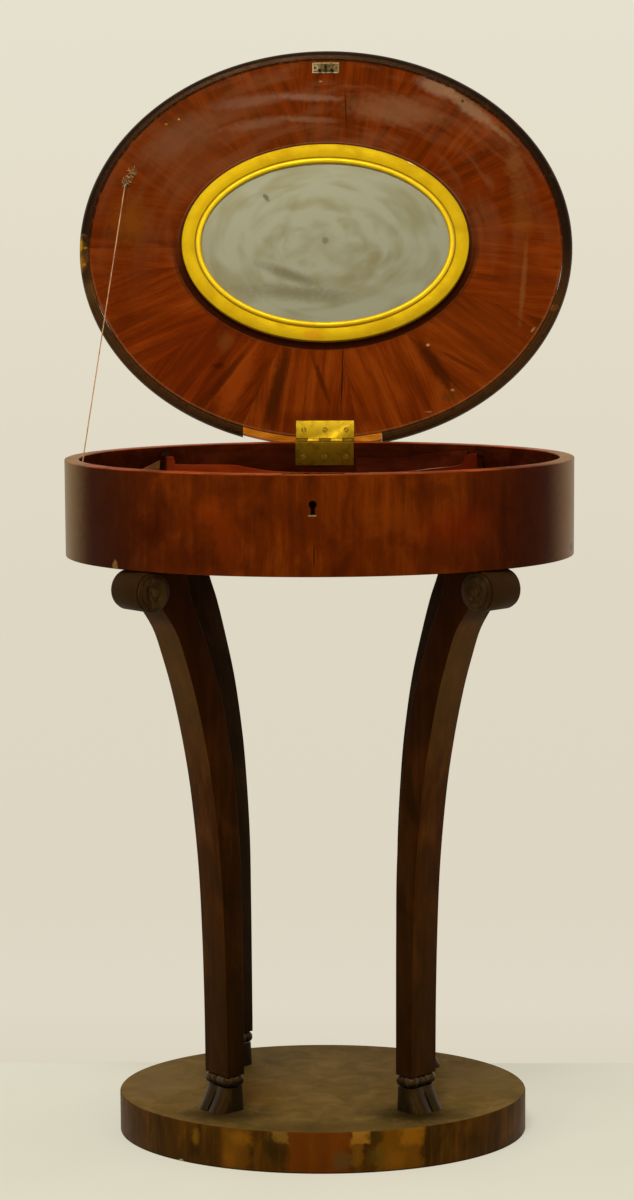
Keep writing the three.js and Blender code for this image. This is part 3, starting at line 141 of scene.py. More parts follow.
def smooth_curve(points: Profile, samples: int) -> list[Pair]:
    """Passes one smooth curve through the points.

    Args:
        points: The points to pass through.
        samples: How many equal steps the whole curve is cut into.

    Returns:
        The points along the curve, ends included.
    """
    last = len(points) - 1
    result = []
    for i in range(samples + 1):
        place = last * i / samples
        index = min(int(place), last - 1)
        t = place - index
        before, here, there = points[max(index - 1, 0)], points[index], points[index + 1]
        after = points[min(index + 2, last)]
        result.append(tuple(
            p1
            + 0.5 * t * (p2 - p0)
            + t * t * (p0 - 2.5 * p1 + 2 * p2 - 0.5 * p3)
            + t * t * t * (-0.5 * p0 + 1.5 * p1 - 1.5 * p2 + 0.5 * p3)
            for p0, p1, p2, p3 in zip(before, here, there, after)
        ))
    return result


def circle(steps: int) -> list[Pair]:
    """The cosine and the sine of equal steps all round."""
    angles = [2 * pi * i / steps for i in range(steps)]
    return [(cos(angle), sin(angle)) for angle in angles]


def link_object(name: str, data: bpy.types.ID) -> Piece:
    """Links a new object with its data to the scene."""
    obj = bpy.data.objects.new(name, data)
    bpy.context.scene.collection.objects.link(obj)
    return obj


def shade(mesh: bpy.types.Mesh, sharp: float = BROKEN_EDGE) -> None:
    """Shades a mesh smooth, but for the edges that turn by more than sharp degrees."""
    mesh.shade_smooth()
    mesh.set_sharp_from_angle(angle=radians(sharp))


def make_object(
    name: str,
    vertices: Iterable[Sequence[float]],
    faces: Iterable[Sequence[int]],
    sharp: float = BROKEN_EDGE,
) -> Piece:
    """Makes a mesh object from millimetre points, with its faces turned outwards.

    Args:
        name: The piece's name.
        vertices: Points in millimetres.
        faces: Rings of point numbers.
        sharp: The angle in degrees past which an edge stays sharp.

    Returns:
        The new object, linked to the scene.
    """
    mesh = bpy.data.meshes.new(name)
    mesh.from_pydata([[c * MM for c in v] for v in vertices], [], list(faces))
    work = bmesh.new()
    work.from_mesh(mesh)
    bmesh.ops.recalc_face_normals(work, faces=work.faces)
    work.to_mesh(mesh)
    work.free()
    shade(mesh, sharp)
    return link_object(name, mesh)


def loft(rings: Sequence[Sequence[Sequence[float]]], closed_path: bool = False) -> Skin:
    """Joins rings of equal length into a skin, and caps its ends unless the path is closed.

    Args:
        rings: The rings of points, in order.
        closed_path: True where the last ring joins the first.

    Returns:
        The points and the faces.
    """
    count = len(rings[0])
    last = len(rings) - 1
    vertices = [point for ring in rings for point in ring]
    faces: list[Sequence[int]] = []
    for r in range(last + closed_path):
        here, there = r * count, (r + 1) % len(rings) * count
        for i in range(count):
            j = (i + 1) % count
            faces.append((here + i, here + j, there + j, there + i))
    if not closed_path:
        for ring, first in ((rings[0], 0), (rings[-1], last * count)):
            triangles = tessellate_polygon([[Vector(point) for point in ring]])
            faces += [tuple(first + i for i in triangle) for triangle in triangles]
    return vertices, faces


def oval_sweep(section: Profile, half_length: float, half_width: float, steps: int = 240) -> Skin:
    """Sweeps a closed section of (inset, z) points all round an oval.

    Args:
        section: The section.
        half_length: Half the oval's length.
        half_width: Half its width.
        steps: How many sections go round.

    Returns:
        The points and the faces.
    """
    rings = [
        [((half_length - inset) * x, (half_width - inset) * y, z) for inset, z in section]
        for x, y in circle(steps)
    ]
    return loft(rings, closed_path=True)


def oval_stack(levels: Profile, half_length: float, half_width: float, steps: int = 240) -> Skin:
    """A solid oval through levels of (inset, z).

    Args:
        levels: The levels.
        half_length: Half the oval's length.
        half_width: Half its width.
        steps: How many points go round.

    Returns:
        The points and the faces.
    """
    return loft([
        [((half_length - inset) * x, (half_width - inset) * y, z) for x, y in circle(steps)]
        for inset, z in levels
    ])


def lathe(profile: Profile, steps: int = 48) -> Skin:
    """Turns a profile of (radius, height) points about Z. It starts and ends on the axis.

    Args:
        profile: The profile, whose first and last radius are zero.
        steps: How many points go round.

    Returns:
        The points and the faces.
    """
    inner = profile[1:-1]
    vertices: list[Sequence[float]] = [(0.0, 0.0, profile[0][1]), (0.0, 0.0, profile[-1][1])]
    vertices += [(radius * x, radius * y, height) for radius, height in inner for x, y in circle(steps)]
    faces: list[Sequence[int]] = []
    last = 2 + (len(inner) - 1) * steps
    for i in range(steps):
        j = (i + 1) % steps
        faces += [(0, 2 + j, 2 + i), (1, last + i, last + j)]
        for here in range(2, last, steps):
            there = here + steps
            faces.append((here + i, here + j, there + j, there + i))
    return vertices, faces


def block(low: Sequence[float], high: Sequence[float]) -> Skin:
    """A plain box between two corners, used to cut and to build up flat fittings.

    Args:
        low: Its lowest corner.
        high: Its highest corner.

    Returns:
        The points and the faces.
    """
    (x0, y0, z0), (x1, y1, z1) = low, high
    vertices = [(x, y, z) for z in (z0, z1) for x, y in ((x0, y0), (x1, y0), (x1, y1), (x0, y1))]
    faces = [(0, 3, 2, 1), (4, 5, 6, 7), (0, 1, 5, 4), (1, 2, 6, 5), (2, 3, 7, 6), (3, 0, 4, 7)]
    return vertices, faces


def slab(outline: Profile, thickness: float, place: float, along_x: bool) -> Skin:
    """A board cut to an outline of (along, z) points, about a middle plane across Y or X."""
    faces = (place - thickness / 2, place + thickness / 2)
    return loft([[(u, face, z) if along_x else (face, u, z) for u, z in outline] for face in faces])


def tube(
    name: str,
    path: Sequence[Vector],
    radius: float,
    sides: int,
    swell: Callable[[int, float], float] = lambda ring, angle: 1.0,
) -> Piece:
    """A round tube along a path.

    Args:
        name: The piece's name.
        path: Its middle line in millimetres.
        radius: Its radius.
        sides: How many points go round.
        swell: The radius's multiplier by the ring's number and the angle.

    Returns:
        The tube.
    """
    rings = []
    side = (path[1] - path[0]).orthogonal().normalized()
    for i, centre in enumerate(path):
        run = (path[min(i + 1, len(path) - 1)] - path[max(i - 1, 0)]).normalized()
        side = (side - run * side.dot(run)).normalized()
        up = run.cross(side)
        rings.append([
            centre + radius * swell(i, angle) * (cos(angle) * side + sin(angle) * up)
            for angle in (2 * pi * k / sides for k in range(sides))
        ])
    return make_object(name, *loft(rings), sharp=180)


def freeze(obj: Piece) -> None:
    """Applies every modifier of an object to its mesh.

    Args:
        obj: The object.
    """
    graph = bpy.context.evaluated_depsgraph_get()
    mesh = bpy.data.meshes.new_from_object(obj.evaluated_get(graph))
    obj.modifiers.clear()
    obj.data = mesh


def soften(obj: Piece, width: float, segments: int = 2, angle: float = 40.0) -> Piece:
    """Rounds an object's sharp edges.

    Args:
        obj: The object.
        width: The width of the rounding in millimetres.
        segments: How many faces make the rounding.
        angle: The angle in degrees past which an edge is rounded.

    Returns:
        The same object.
    """
    bevel = obj.modifiers.new("edges", "BEVEL")
    bevel.width = width * MM
    bevel.segments = segments
    bevel.limit_method = "ANGLE"
    bevel.angle_limit = radians(angle)
    bevel.harden_normals = False
    freeze(obj)
    shade(obj.data, angle)
    return obj


def combine(obj: Piece, tools: Sequence[Piece], operation: str = "DIFFERENCE") -> Piece:
    """Cuts tools out of an object, or joins them to it, and deletes the tools.

    Args:
        obj: The object to change.
        tools: The other objects.
        operation: DIFFERENCE, UNION or INTERSECT.

    Returns:
        The same object.
    """
    for tool in tools:
        change = obj.modifiers.new("change", "BOOLEAN")
        change.operation = operation
        change.solver = "EXACT"
        change.object = tool
    freeze(obj)
    for tool in tools:
        bpy.data.objects.remove(tool)
    shade(obj.data)
    return obj


def joined(name: str, objects: Sequence[Piece]) -> Piece:
    """Joins separate meshes into one new object without cutting them, and deletes the old ones.

    Args:
        name: The new object's name.
        objects: The old objects.

    Returns:
        The new object.
    """
    work = bmesh.new()
    for obj in objects:
        work.from_mesh(obj.data)
        bpy.data.objects.remove(obj)
    mesh = bpy.data.meshes.new(name)
    work.to_mesh(mesh)
    work.free()
    shade(mesh)
    return link_object(name, mesh)


def shift(obj: Piece, matrix: Matrix) -> Piece:
    """Moves an object's mesh by a matrix in metres."""
    obj.data.transform(matrix)
    return obj


def move(x: float = 0.0, y: float = 0.0, z: float = 0.0) -> Matrix:
    """A move in millimetres as a matrix in metres."""
    return Matrix.Translation(Vector((x, y, z)) * MM)


def aimed(direction: Sequence[float], x: float, y: float, z: float) -> Matrix:
    """Turns +Z to a direction, and moves the origin to a place in millimetres."""
    turn = Vector((0, 0, 1)).rotation_difference(Vector(direction)).to_matrix().to_4x4()
    return move(x, y, z) @ turn


# Materials


class Kind(Enum):
    """The kinds of node: each one's type, and the setting that makes it what its name says."""

    PLUS = "Math operation ADD"
    MINUS = "Math operation SUBTRACT"
    TIMES = "Math operation MULTIPLY"
    DIVIDE = "Math operation DIVIDE"
    TIMES_PLUS = "Math operation MULTIPLY_ADD"
    MAXIMUM = "Math operation MAXIMUM"
    ABSOLUTE = "Math operation ABSOLUTE"
    FLOOR = "Math operation FLOOR"
    PINGPONG = "Math operation PINGPONG"
    SQRT = "Math operation SQRT"
    SINE = "Math operation SINE"
    COSINE = "Math operation COSINE"
    ARCTAN2 = "Math operation ARCTAN2"
    SHIFTED = "VectorMath operation ADD"
    SCALED = "VectorMath operation MULTIPLY"
    SIDES = "VectorMath operation ABSOLUTE"
    LENGTH = "VectorMath operation LENGTH"
    TURNED = "VectorRotate rotation_type Z_AXIS"
    SPLIT = "SeparateXYZ"
    VECTOR = "CombineXYZ"
    STEP = "MapRange interpolation_type SMOOTHSTEP"
    MIX = "Mix data_type RGBA"
    RAMP = "ValToRGB"
    NOISE = "TexNoise"
    CHANCE = "TexWhiteNoise noise_dimensions 1D"
    PLACE = "TexCoord"
    BUMP = "Bump"
    RAYS = "LightPath"
    EMISSION = "Emission"
    BACKGROUND = "Background"
    EITHER = "MixShader"
    WORLD = "OutputWorld"


def linear(code: str) -> tuple[float, float, float, float]:
    """Turns an sRGB hex colour such as 8c3e10 to a linear colour with full alpha.

    Args:
        code: Its six hex digits.

    Returns:
        Red, green, blue and alpha.
    """
    shares = [int(code[i:i + 2], 16) / 255 for i in (0, 2, 4)]
    red, green, blue = (s / 12.92 if s <= 0.04045 else ((s + 0.055) / 1.055) ** 2.4 for s in shares)
    return red, green, blue, 1.0


def feed(tree: Tree, value: object, socket: Socket) -> None:
    """Links a socket to an input, or sets the input to a value or a hex colour.

    Args:
        tree: The node tree.
        value: The socket, the value or the colour.
        socket: The input.
    """
    if isinstance(value, Socket):
        tree.links.new(value, socket)
    else:
        socket.default_value = linear(value) if isinstance(value, str) else value


def add_node(
    tree: Tree,
    kind: Kind,
    *values: object,
    out: int | str | None = None,
    stops: Sequence[tuple[float, str]] = (),
    **named: object,
) -> Socket | None:
    """Adds a node with its settings, its values and its links.

    Args:
        tree: The node tree.
        kind: The kind of node.
        *values: A socket, a number or a hex colour for each input in use, in their order.
        out: The output to hand back, by name or number, where it isn't the first in use.
        stops: A ramp's stops, each a place and a hex colour.
        **named: More inputs by name, or settings of this one node.

    Returns:
        The output.
    """
    type_name, *setting = kind.value.split()
    node = tree.nodes.new("ShaderNode" + type_name)
    if setting:
        setattr(node, *setting)
    for socket, value in zip([socket for socket in node.inputs if socket.enabled], values):
        feed(tree, value, socket)
    for name, value in named.items():
        if name in node.inputs:
            feed(tree, value, node.inputs[name])
        else:
            setattr(node, name, value)
    if stops:
        elements = node.color_ramp.elements
        while len(elements) < len(stops):
            elements.new(0.5)
        for element, (place, code) in zip(elements, stops):
            element.position = place
            element.color = linear(code)
    if out is not None:
        return node.outputs[out]
    return next((socket for socket in node.outputs if socket.enabled), None)


def per_metre(size: float) -> float:
    """How often a size in millimetres goes into a metre, which is a pattern's scale."""
    return 1 / (size * MM)


@dataclass(frozen=True)
class Mark:
    """A stain, repair, chip, worn place, painted shade or painted highlight on a surface, in the object's own
    millimetres.
    """

    x: float
    y: float
    z: float
    across: float
    along: float
    up: float
    colour: str
    strength: float = 1.0
    ragged: float = 0.35
    edge: float = 0.35
    turn: float = 0.0
    square: bool = False

    def mask(self, add: Adder, place: Socket, rough: Socket) -> Socket:
        """1 inside the mark and 0 outside, with a ragged edge.

        Args:
            add: Adds a node to the material.
            place: The place on the object.
            rough: Noise that makes the edge ragged.

        Returns:
            The mask.
        """
        moved = add(Kind.SHIFTED, place, (-self.x * MM, -self.y * MM, -self.z * MM))
        if self.turn:
            moved = add(Kind.TURNED, moved, Angle=radians(-self.turn))
        scaled = add(Kind.SCALED, moved, tuple(map(per_metre, (self.across, self.along, self.up))))
        if self.square:
            sides = add(Kind.SIDES, scaled)
            x, y, z = (add(Kind.SPLIT, sides, out=axis) for axis in range(3))
            reach = add(Kind.MAXIMUM, add(Kind.MAXIMUM, x, y), z)
        else:
            reach = add(Kind.LENGTH, scaled)
        wobble = add(Kind.TIMES_PLUS, rough, 2 * self.ragged, -self.ragged)
        distance = add(Kind.PLUS, reach, wobble)
        inside = add(Kind.STEP, distance, 1 + self.edge / 2, 1 - self.edge / 2)
        return add(Kind.TIMES, inside, self.strength)


def spot(x: float, y: float, across: float, along: float, colour: str, *rest: float) -> Mark:
    """A mark on a level surface, by its middle, its half sizes and the mark's other values."""
    return Mark(x, y, 0, across, along, DEEP, colour, *rest)


def streak(start: Pair, end: Pair, width: float, colour: str, strength: float, ragged: float = 0.5) -> Mark:
    """A long soft mark on a level surface.

    Args:
        start: Where it begins, as X and Y.
        end: Where it ends.
        width: Its whole width.
        colour: Its colour.
        strength: How much of it shows.
        ragged: How ragged its edge is.

    Returns:
        The mark.
    """
    run = (end[0] - start[0], end[1] - start[1])
    x, y = (start[0] + end[0]) / 2, (start[1] + end[1]) / 2
    turn = degrees(atan2(run[1], run[0]))
    return spot(x, y, hypot(*run) / 2, width / 2, colour, strength, ragged, SOFT_EDGE, turn)


@dataclass(frozen=True)
class Oval:
    """An oval on the lid's underside, about a middle on its Y axis."""

    half_length: float
    half_width: float
    centre_y: float = LID_CENTRE_Y

    def reach(self, add: Adder, place: Socket) -> Socket:
        """How far a place is from the oval's middle, in metres on its short axis."""
        moved = add(Kind.SHIFTED, place, (0, -self.centre_y * MM, 0))
        return add(Kind.LENGTH, add(Kind.SCALED, moved, (self.half_width / self.half_length, 1.0, 0.0)))


@dataclass(frozen=True)
class EdgeLine:
    """A line that follows an oval: a groove, a worn arris, old glue or a painted shadow.

    It shows at Y values on the far side of none from full.
    """

    oval: Oval
    colour: str
    width: float
    strength: float
    none: float
    full: float
    wear: float = 1.0

    def mask(self, add: Adder, place: Socket, along_y: Socket, rough: Socket) -> Socket:
        """1 on the line and 0 away from it.

        Args:
            add: Adds a node to the material.
            place: The place on the object.
            along_y: The place's Y.
            rough: Noise that wears the line away here and there.

        Returns:
            The mask.
        """
        off = add(Kind.MINUS, self.oval.reach(add, place), self.oval.half_width * MM)
        line = add(Kind.STEP, add(Kind.ABSOLUTE, off), self.width * MM * 0.7, self.width * MM * 0.3)
        part = add(Kind.STEP, along_y, self.none * MM, self.full * MM)
        worn = add(Kind.STEP, rough, 0.25 * self.wear, 0.5 * self.wear)
        shown = add(Kind.TIMES, add(Kind.TIMES, line, part), worn)
        return add(Kind.TIMES, shown, self.strength)


@dataclass(frozen=True)
class Bloom:
    """Pale bloom in old polish, in cloudy streaks that follow an oval. It grows from none to full."""

    oval: Oval
    colour: str
    share: float
    lumps: float
    none: float
    full: float

    def masks(self, add: Adder, place: Socket, along_y: Socket) -> tuple[Socket, Socket]:
        """The bloom's mask, and the part of the surface that it lies on.

        Args:
            add: Adds a node to the material.
            place: The place on the object.
            along_y: The place's Y.

        Returns:
            The mask, and 1 where the bloom lies and 0 elsewhere.
        """
        drawn_out = add(Kind.SCALED, place, (0.22, 0.22, 0.22))
        across, along = (add(Kind.SPLIT, drawn_out, out=axis) for axis in range(2))
        curved = add(Kind.VECTOR, across, along, self.oval.reach(add, place))
        cloud = add(Kind.NOISE, curved, per_metre(self.lumps), 4.0, Distortion=0.35)
        part = add(Kind.STEP, along_y, self.none * MM, self.full * MM)
        veil = add(Kind.TIMES, add(Kind.STEP, cloud, 0.42, 0.68), part)
        return add(Kind.TIMES, veil, self.share), part


class Grain(Enum):
    """The axis that the wood's grain runs along, or outwards leaf by leaf round the lid's middle."""

    ALONG_X = 0
    ALONG_Y = 1
    ALONG_Z = 2
    SUNBURST = 3

    def scale(self, share: float) -> Point:
        """Multipliers of X, Y and Z that make a pattern longer along the grain."""
        return tuple(share if axis == self.value % 3 else 1.0 for axis in range(3))


@dataclass(frozen=True)
class Finish:
    """What every finish has: its material's name, and its values for the surface shader."""

    name: str

    def surface(self, add: Adder, place: Socket) -> dict[str, object]:
        """The finish's values for the surface shader, by input.

        Args:
            add: Adds a node to the material.
            place: The place on the object.

        Returns:
            A value or a socket for each input that isn't left as it is.
        """
        raise NotImplementedError

    def build(self) -> bpy.types.Material:
        """Builds the finish's material.

        Returns:
            The material.
        """
        material = bpy.data.materials.new(self.name)
        material.use_nodes = True
        tree = material.node_tree
        add = partial(add_node, tree)
        shader = tree.nodes["Principled BSDF"]
        for name, value in self.surface(add, add(Kind.PLACE, out="Object")).items():
            feed(tree, value, shader.inputs[name])
        return material


@dataclass(frozen=True)
class Wood(Finish):
    """Old polished wood: figure, streaks, open pores, a worn and uneven polish, and its marks."""

    tones: tuple[str, str, str]
    grain: Grain = Grain.ALONG_Z
    figure: float = 30.0
    figure_long: float = 0.45
    streak: float = 6.0
    line: float = 1.4
    figure_share: float = 0.5
    spread: float = 0.3
    pore_depth: float = 0.3
    roughness: float = 0.44
    uneven: float = 0.1
    specular: float = 0.1
    polish: str = "d08a30"
    glossy_beyond: float = 0.0
    bump: float = 0.3
    bump_depth: float = 0.12
    marks: tuple[Mark, ...] = ()
    lines: tuple[EdgeLine, ...] = ()
    bloom: Bloom | None = None
    segments: int = 0
    seam: float = 0.3

    def surface(self, add: Adder, place: Socket) -> dict[str, object]:
        """The wood's values for the surface shader, as for every finish.

        Args:
            add: Adds a node to the material.
            place: The place on the object.

        Returns:
            The value or socket of each input.
        """
        along_y = add(Kind.SPLIT, place, out=1)
        grain, seam, leaf = self.leaves(add, place) if self.segments else (place, None, None)
        figure_place = add(Kind.SCALED, grain, self.grain.scale(self.figure_long))
        figure = add(Kind.NOISE, figure_place, per_metre(self.figure), 3.0, Distortion=0.6)
        long_place = add(Kind.SCALED, grain, self.grain.scale(0.06))
        streaks = add(Kind.NOISE, long_place, per_metre(self.streak), 3.0, Distortion=0.25)
        fine = add(Kind.NOISE, long_place, per_metre(self.line))
        rest = 1 - self.figure_share
        value = add(Kind.TIMES, figure, self.figure_share)
        value = add(Kind.TIMES_PLUS, streaks, 0.7 * rest, value)
        value = add(Kind.TIMES_PLUS, fine, 0.3 * rest, value)
        if self.segments:
            value = add(Kind.TIMES_PLUS, leaf, 0.1, add(Kind.MINUS, value, 0.05))
        if self.bloom:
            veil, part = self.bloom.masks(add, place, along_y)
            calm = add(Kind.TIMES_PLUS, part, -0.25, 1.0)
            value = add(Kind.TIMES_PLUS, add(Kind.MINUS, value, 0.5), calm, 0.5)
        places = (0.5 - self.spread / 2, 0.5, 0.5 + self.spread / 2)
        colour = add(Kind.RAMP, value, stops=list(zip(places, self.tones)))
        tick_place = add(Kind.SCALED, grain, self.grain.scale(0.12))
        pores = add(Kind.STEP, add(Kind.NOISE, tick_place, per_metre(PORE), 1.0), 0.6, 0.72)
        dark = self.tones[0]
        colour = add(Kind.MIX, add(Kind.TIMES, pores, self.pore_depth), colour, dark)
        wide = add(Kind.NOISE, place, per_metre(POLISH_PATCH), 3.0, Distortion=0.8)
        ragged = add(Kind.NOISE, place, per_metre(WOOD_CHIP), 4.0)
        if self.bloom:
            colour = add(Kind.MIX, veil, colour, self.bloom.colour)
        if self.segments:
            colour = add(Kind.MIX, add(Kind.TIMES, seam, self.seam), colour, dark)
        dull: Socket | float = 0.0
        for mark in self.marks:
            mask = mark.mask(add, place, ragged)
            colour = add(Kind.MIX, mask, colour, mark.colour)
            dull = add(Kind.TIMES_PLUS, mask, 0.1, dull)
        for line in self.lines:
            colour = add(Kind.MIX, line.mask(add, place, along_y, ragged), colour, line.colour)
        roughness = add(Kind.TIMES_PLUS, wide, 2 * self.uneven, self.roughness - self.uneven)
        roughness = add(Kind.PLUS, roughness, dull)
        height = add(Kind.TIMES_PLUS, pores, -0.6, add(Kind.TIMES, fine, 0.5))
        height = add(Kind.TIMES_PLUS, wide, 1.2, height)
        values = {
            "Base Color": colour,
            "Roughness": add(Kind.TIMES_PLUS, pores, 0.12, roughness, use_clamp=True),
            "IOR": 1.5,
            "Specular IOR Level": self.specular,
            "Specular Tint": self.polish,
            "Normal": add(Kind.BUMP, self.bump, self.bump_depth * MM, Height=height),
        }
        if self.glossy_beyond:
            out = add(Kind.ABSOLUTE, add(Kind.SPLIT, place))
            gloss = add(Kind.STEP, out, self.glossy_beyond * MM, (self.glossy_beyond + 50) * MM)
            values |= {"Coat Weight": add(Kind.TIMES, gloss, 0.5), "Coat Roughness": 0.25}
        return values

    def leaves(self, add: Adder, place: Socket) -> tuple[Socket, Socket, Socket]:
        """The place in the leaves of a sunburst, each a mirror image of the next.

        Args:
            add: Adds a node to the material.
            place: The place on the object.

        Returns:
            The place with X outwards, the seams, and a shade for each leaf.
        """
        across = add(Kind.SPLIT, place)
        along = add(Kind.MINUS, add(Kind.SPLIT, place, out=1), LID_CENTRE_Y * MM)
        angle = add(Kind.ARCTAN2, add(Kind.TIMES, along, SUNBURST_FLATTEN), across)
        step = 2 * pi / self.segments
        cell = add(Kind.FLOOR, add(Kind.TIMES_PLUS, angle, 1 / step, SUNBURST_TURN))
        middle = add(Kind.TIMES, add(Kind.PLUS, cell, 0.5 - SUNBURST_TURN), step)
        x, y = add(Kind.COSINE, middle), add(Kind.SINE, middle)
        outward = add(Kind.PLUS, add(Kind.TIMES, across, x), add(Kind.TIMES, along, y))
        sideways = add(Kind.MINUS, add(Kind.TIMES, along, x), add(Kind.TIMES, across, y))
        flip = add(Kind.TIMES_PLUS, add(Kind.PINGPONG, cell, 1.0), -2.0, 1.0)
        pair = add(Kind.FLOOR, add(Kind.TIMES, cell, 0.5))
        apart = add(Kind.TIMES, pair, 0.37)
        leaf_place = add(Kind.VECTOR, outward, add(Kind.TIMES, sideways, flip), apart)
        offset = add(Kind.ABSOLUTE, add(Kind.MINUS, angle, middle))
        to_seam = add(Kind.MINUS, step / 2, offset)
        gap = add(Kind.TIMES, to_seam, add(Kind.ABSOLUTE, outward))
        seam = add(Kind.STEP, gap, 0.9 * MM, 0.2 * MM)
        return leaf_place, seam, add(Kind.CHANCE, cell)


@dataclass(frozen=True)
class Metal(Finish):
    """Worn metal: its colour, the tarnish on it, fine scratches and dull patches."""

    colour: str
    tarnish: str
    tarnish_share: float = 0.35
    tarnish_size: float = 9.0
    roughness: float = 0.35
    scratches: float = 0.25
    bump: float = 0.3
    bump_depth: float = 0.05
    metallic: float = 1.0
    marks: tuple[Mark, ...] = ()

    def surface(self, add: Adder, place: Socket) -> dict[str, object]:
        """The metal's values for the surface shader, as for every finish.

        Args:
            add: Adds a node to the material.
            place: The place on the object.

        Returns:
            The value or socket of each input.
        """
        cloud = add(Kind.NOISE, place, per_metre(self.tarnish_size), 4.0, Distortion=0.4)
        speck = add(Kind.NOISE, place, per_metre(TARNISH_SPECK), 3.0)
        mixed = add(Kind.TIMES_PLUS, speck, 0.3, add(Kind.TIMES, cloud, 0.7))
        share = add(Kind.TIMES, add(Kind.STEP, mixed, 0.42, 0.66), self.tarnish_share)
        colour = add(Kind.MIX, share, self.colour, self.tarnish)
        fine = add(Kind.NOISE, add(Kind.SCALED, place, (0.06, 1.0, 0.5)), per_metre(SCRATCH))
        lines = add(Kind.TIMES, add(Kind.STEP, fine, 0.58, 0.7), self.scratches)
        ragged = add(Kind.NOISE, place, per_metre(METAL_CHIP), 3.0)
        for mark in self.marks:
            colour = add(Kind.MIX, mark.mask(add, place, ragged), colour, mark.colour)
        roughness = add(Kind.TIMES_PLUS, cloud, 0.3, self.roughness - 0.12)
        height = add(Kind.PLUS, add(Kind.TIMES, cloud, 1.5), lines)
        return {
            "Base Color": colour,
            "Roughness": add(Kind.PLUS, roughness, add(Kind.TIMES, lines, 0.35), use_clamp=True),
            "Metallic": self.metallic,
            "Specular Tint": self.colour,
            "Normal": add(Kind.BUMP, self.bump, self.bump_depth * MM, Height=height),
        }


@dataclass(frozen=True)
class OldSilvering(Finish):
    """The silvered back of an old mirror seen through its glass, with smears and black spots."""

    silver: str
    smear: str
    centre_y: float
    sweep: float = 34.0
    spots: tuple[Mark, ...] = ()

    def surface(self, add: Adder, place: Socket) -> dict[str, object]:
        """The mirror's values for the surface shader, as for every finish.

        Args:
            add: Adds a node to the material.
            place: The place on the object.

        Returns:
            The value or socket of each input.
        """
        across = add(Kind.SPLIT, place)
        along = add(Kind.TIMES_PLUS, add(Kind.SPLIT, place, out=1), 1.4, -1.4 * self.centre_y * MM)
        squares = add(Kind.PLUS, add(Kind.TIMES, across, across), add(Kind.TIMES, along, along))
        radius = add(Kind.SQRT, squares)
        angle = add(Kind.ARCTAN2, along, across)
        x = add(Kind.TIMES, add(Kind.COSINE, angle), self.sweep * MM)
        y = add(Kind.TIMES, add(Kind.SINE, angle), self.sweep * MM)
        around = add(Kind.VECTOR, x, y, radius)
        swirl = add(Kind.NOISE, around, per_metre(SILVER_SMEAR), 2.0, Distortion=0.4)
        grime = add(Kind.NOISE, place, per_metre(SILVER_GRIME), 2.0, Distortion=0.5)
        share = add(Kind.TIMES, add(Kind.STEP, radius, 8 * MM, 50 * MM), 0.75)
        both = add(Kind.TIMES_PLUS, add(Kind.MINUS, swirl, grime), share, grime)
        colour = add(Kind.RAMP, both, stops=[(0.36, self.smear), (0.56, self.silver)])
        ragged = add(Kind.NOISE, place, per_metre(SILVER_CHIP), 3.0)
        for mark in self.spots:
            colour = add(Kind.MIX, mark.mask(add, place, ragged), colour, mark.colour)
        return {
            "Base Color": colour,
            "Roughness": add(Kind.TIMES_PLUS, both, 0.2, 0.3),
            "Metallic": 0.75,
            "Coat Weight": 0.6,
            "Coat Roughness": 0.04,
        }


@dataclass(frozen=True)
class Twine(Finish):
    """Twisted linen string, dry and dusty."""

    light: str
    dark: str

    def surface(self, add: Adder, place: Socket) -> dict[str, object]:
        """The string's values for the surface shader, as for every finish.

        Args:
            add: Adds a node to the material.
            place: The place on the object.

        Returns:
            The value or socket of each input.
        """
        fibre = add(Kind.NOISE, add(Kind.SCALED, place, (1.0, 1.0, 0.4)), per_metre(FIBRE), 3.0)
        grime = add(Kind.NOISE, place, per_metre(STRING_GRIME))
        value = add(Kind.TIMES_PLUS, grime, 0.6, add(Kind.TIMES, fibre, 0.4))
        return {
            "Base Color": add(Kind.RAMP, value, stops=[(0.35, self.dark), (0.6, self.light)]),
            "Roughness": add(Kind.TIMES_PLUS, fibre, 0.2, 0.75),
            "Sheen Weight": 0.3,
            "Normal": add(Kind.BUMP, 0.6, 0.1 * MM, Height=fibre),
        }


SUNBURST_FLATTEN = 1.15
SUNBURST_TURN = 0.28
FRAME_CENTRE_Y = LID_CENTRE_Y - 4.0
LID_OVAL = Oval(SIZES.box_half_length, SIZES.box_half_width)
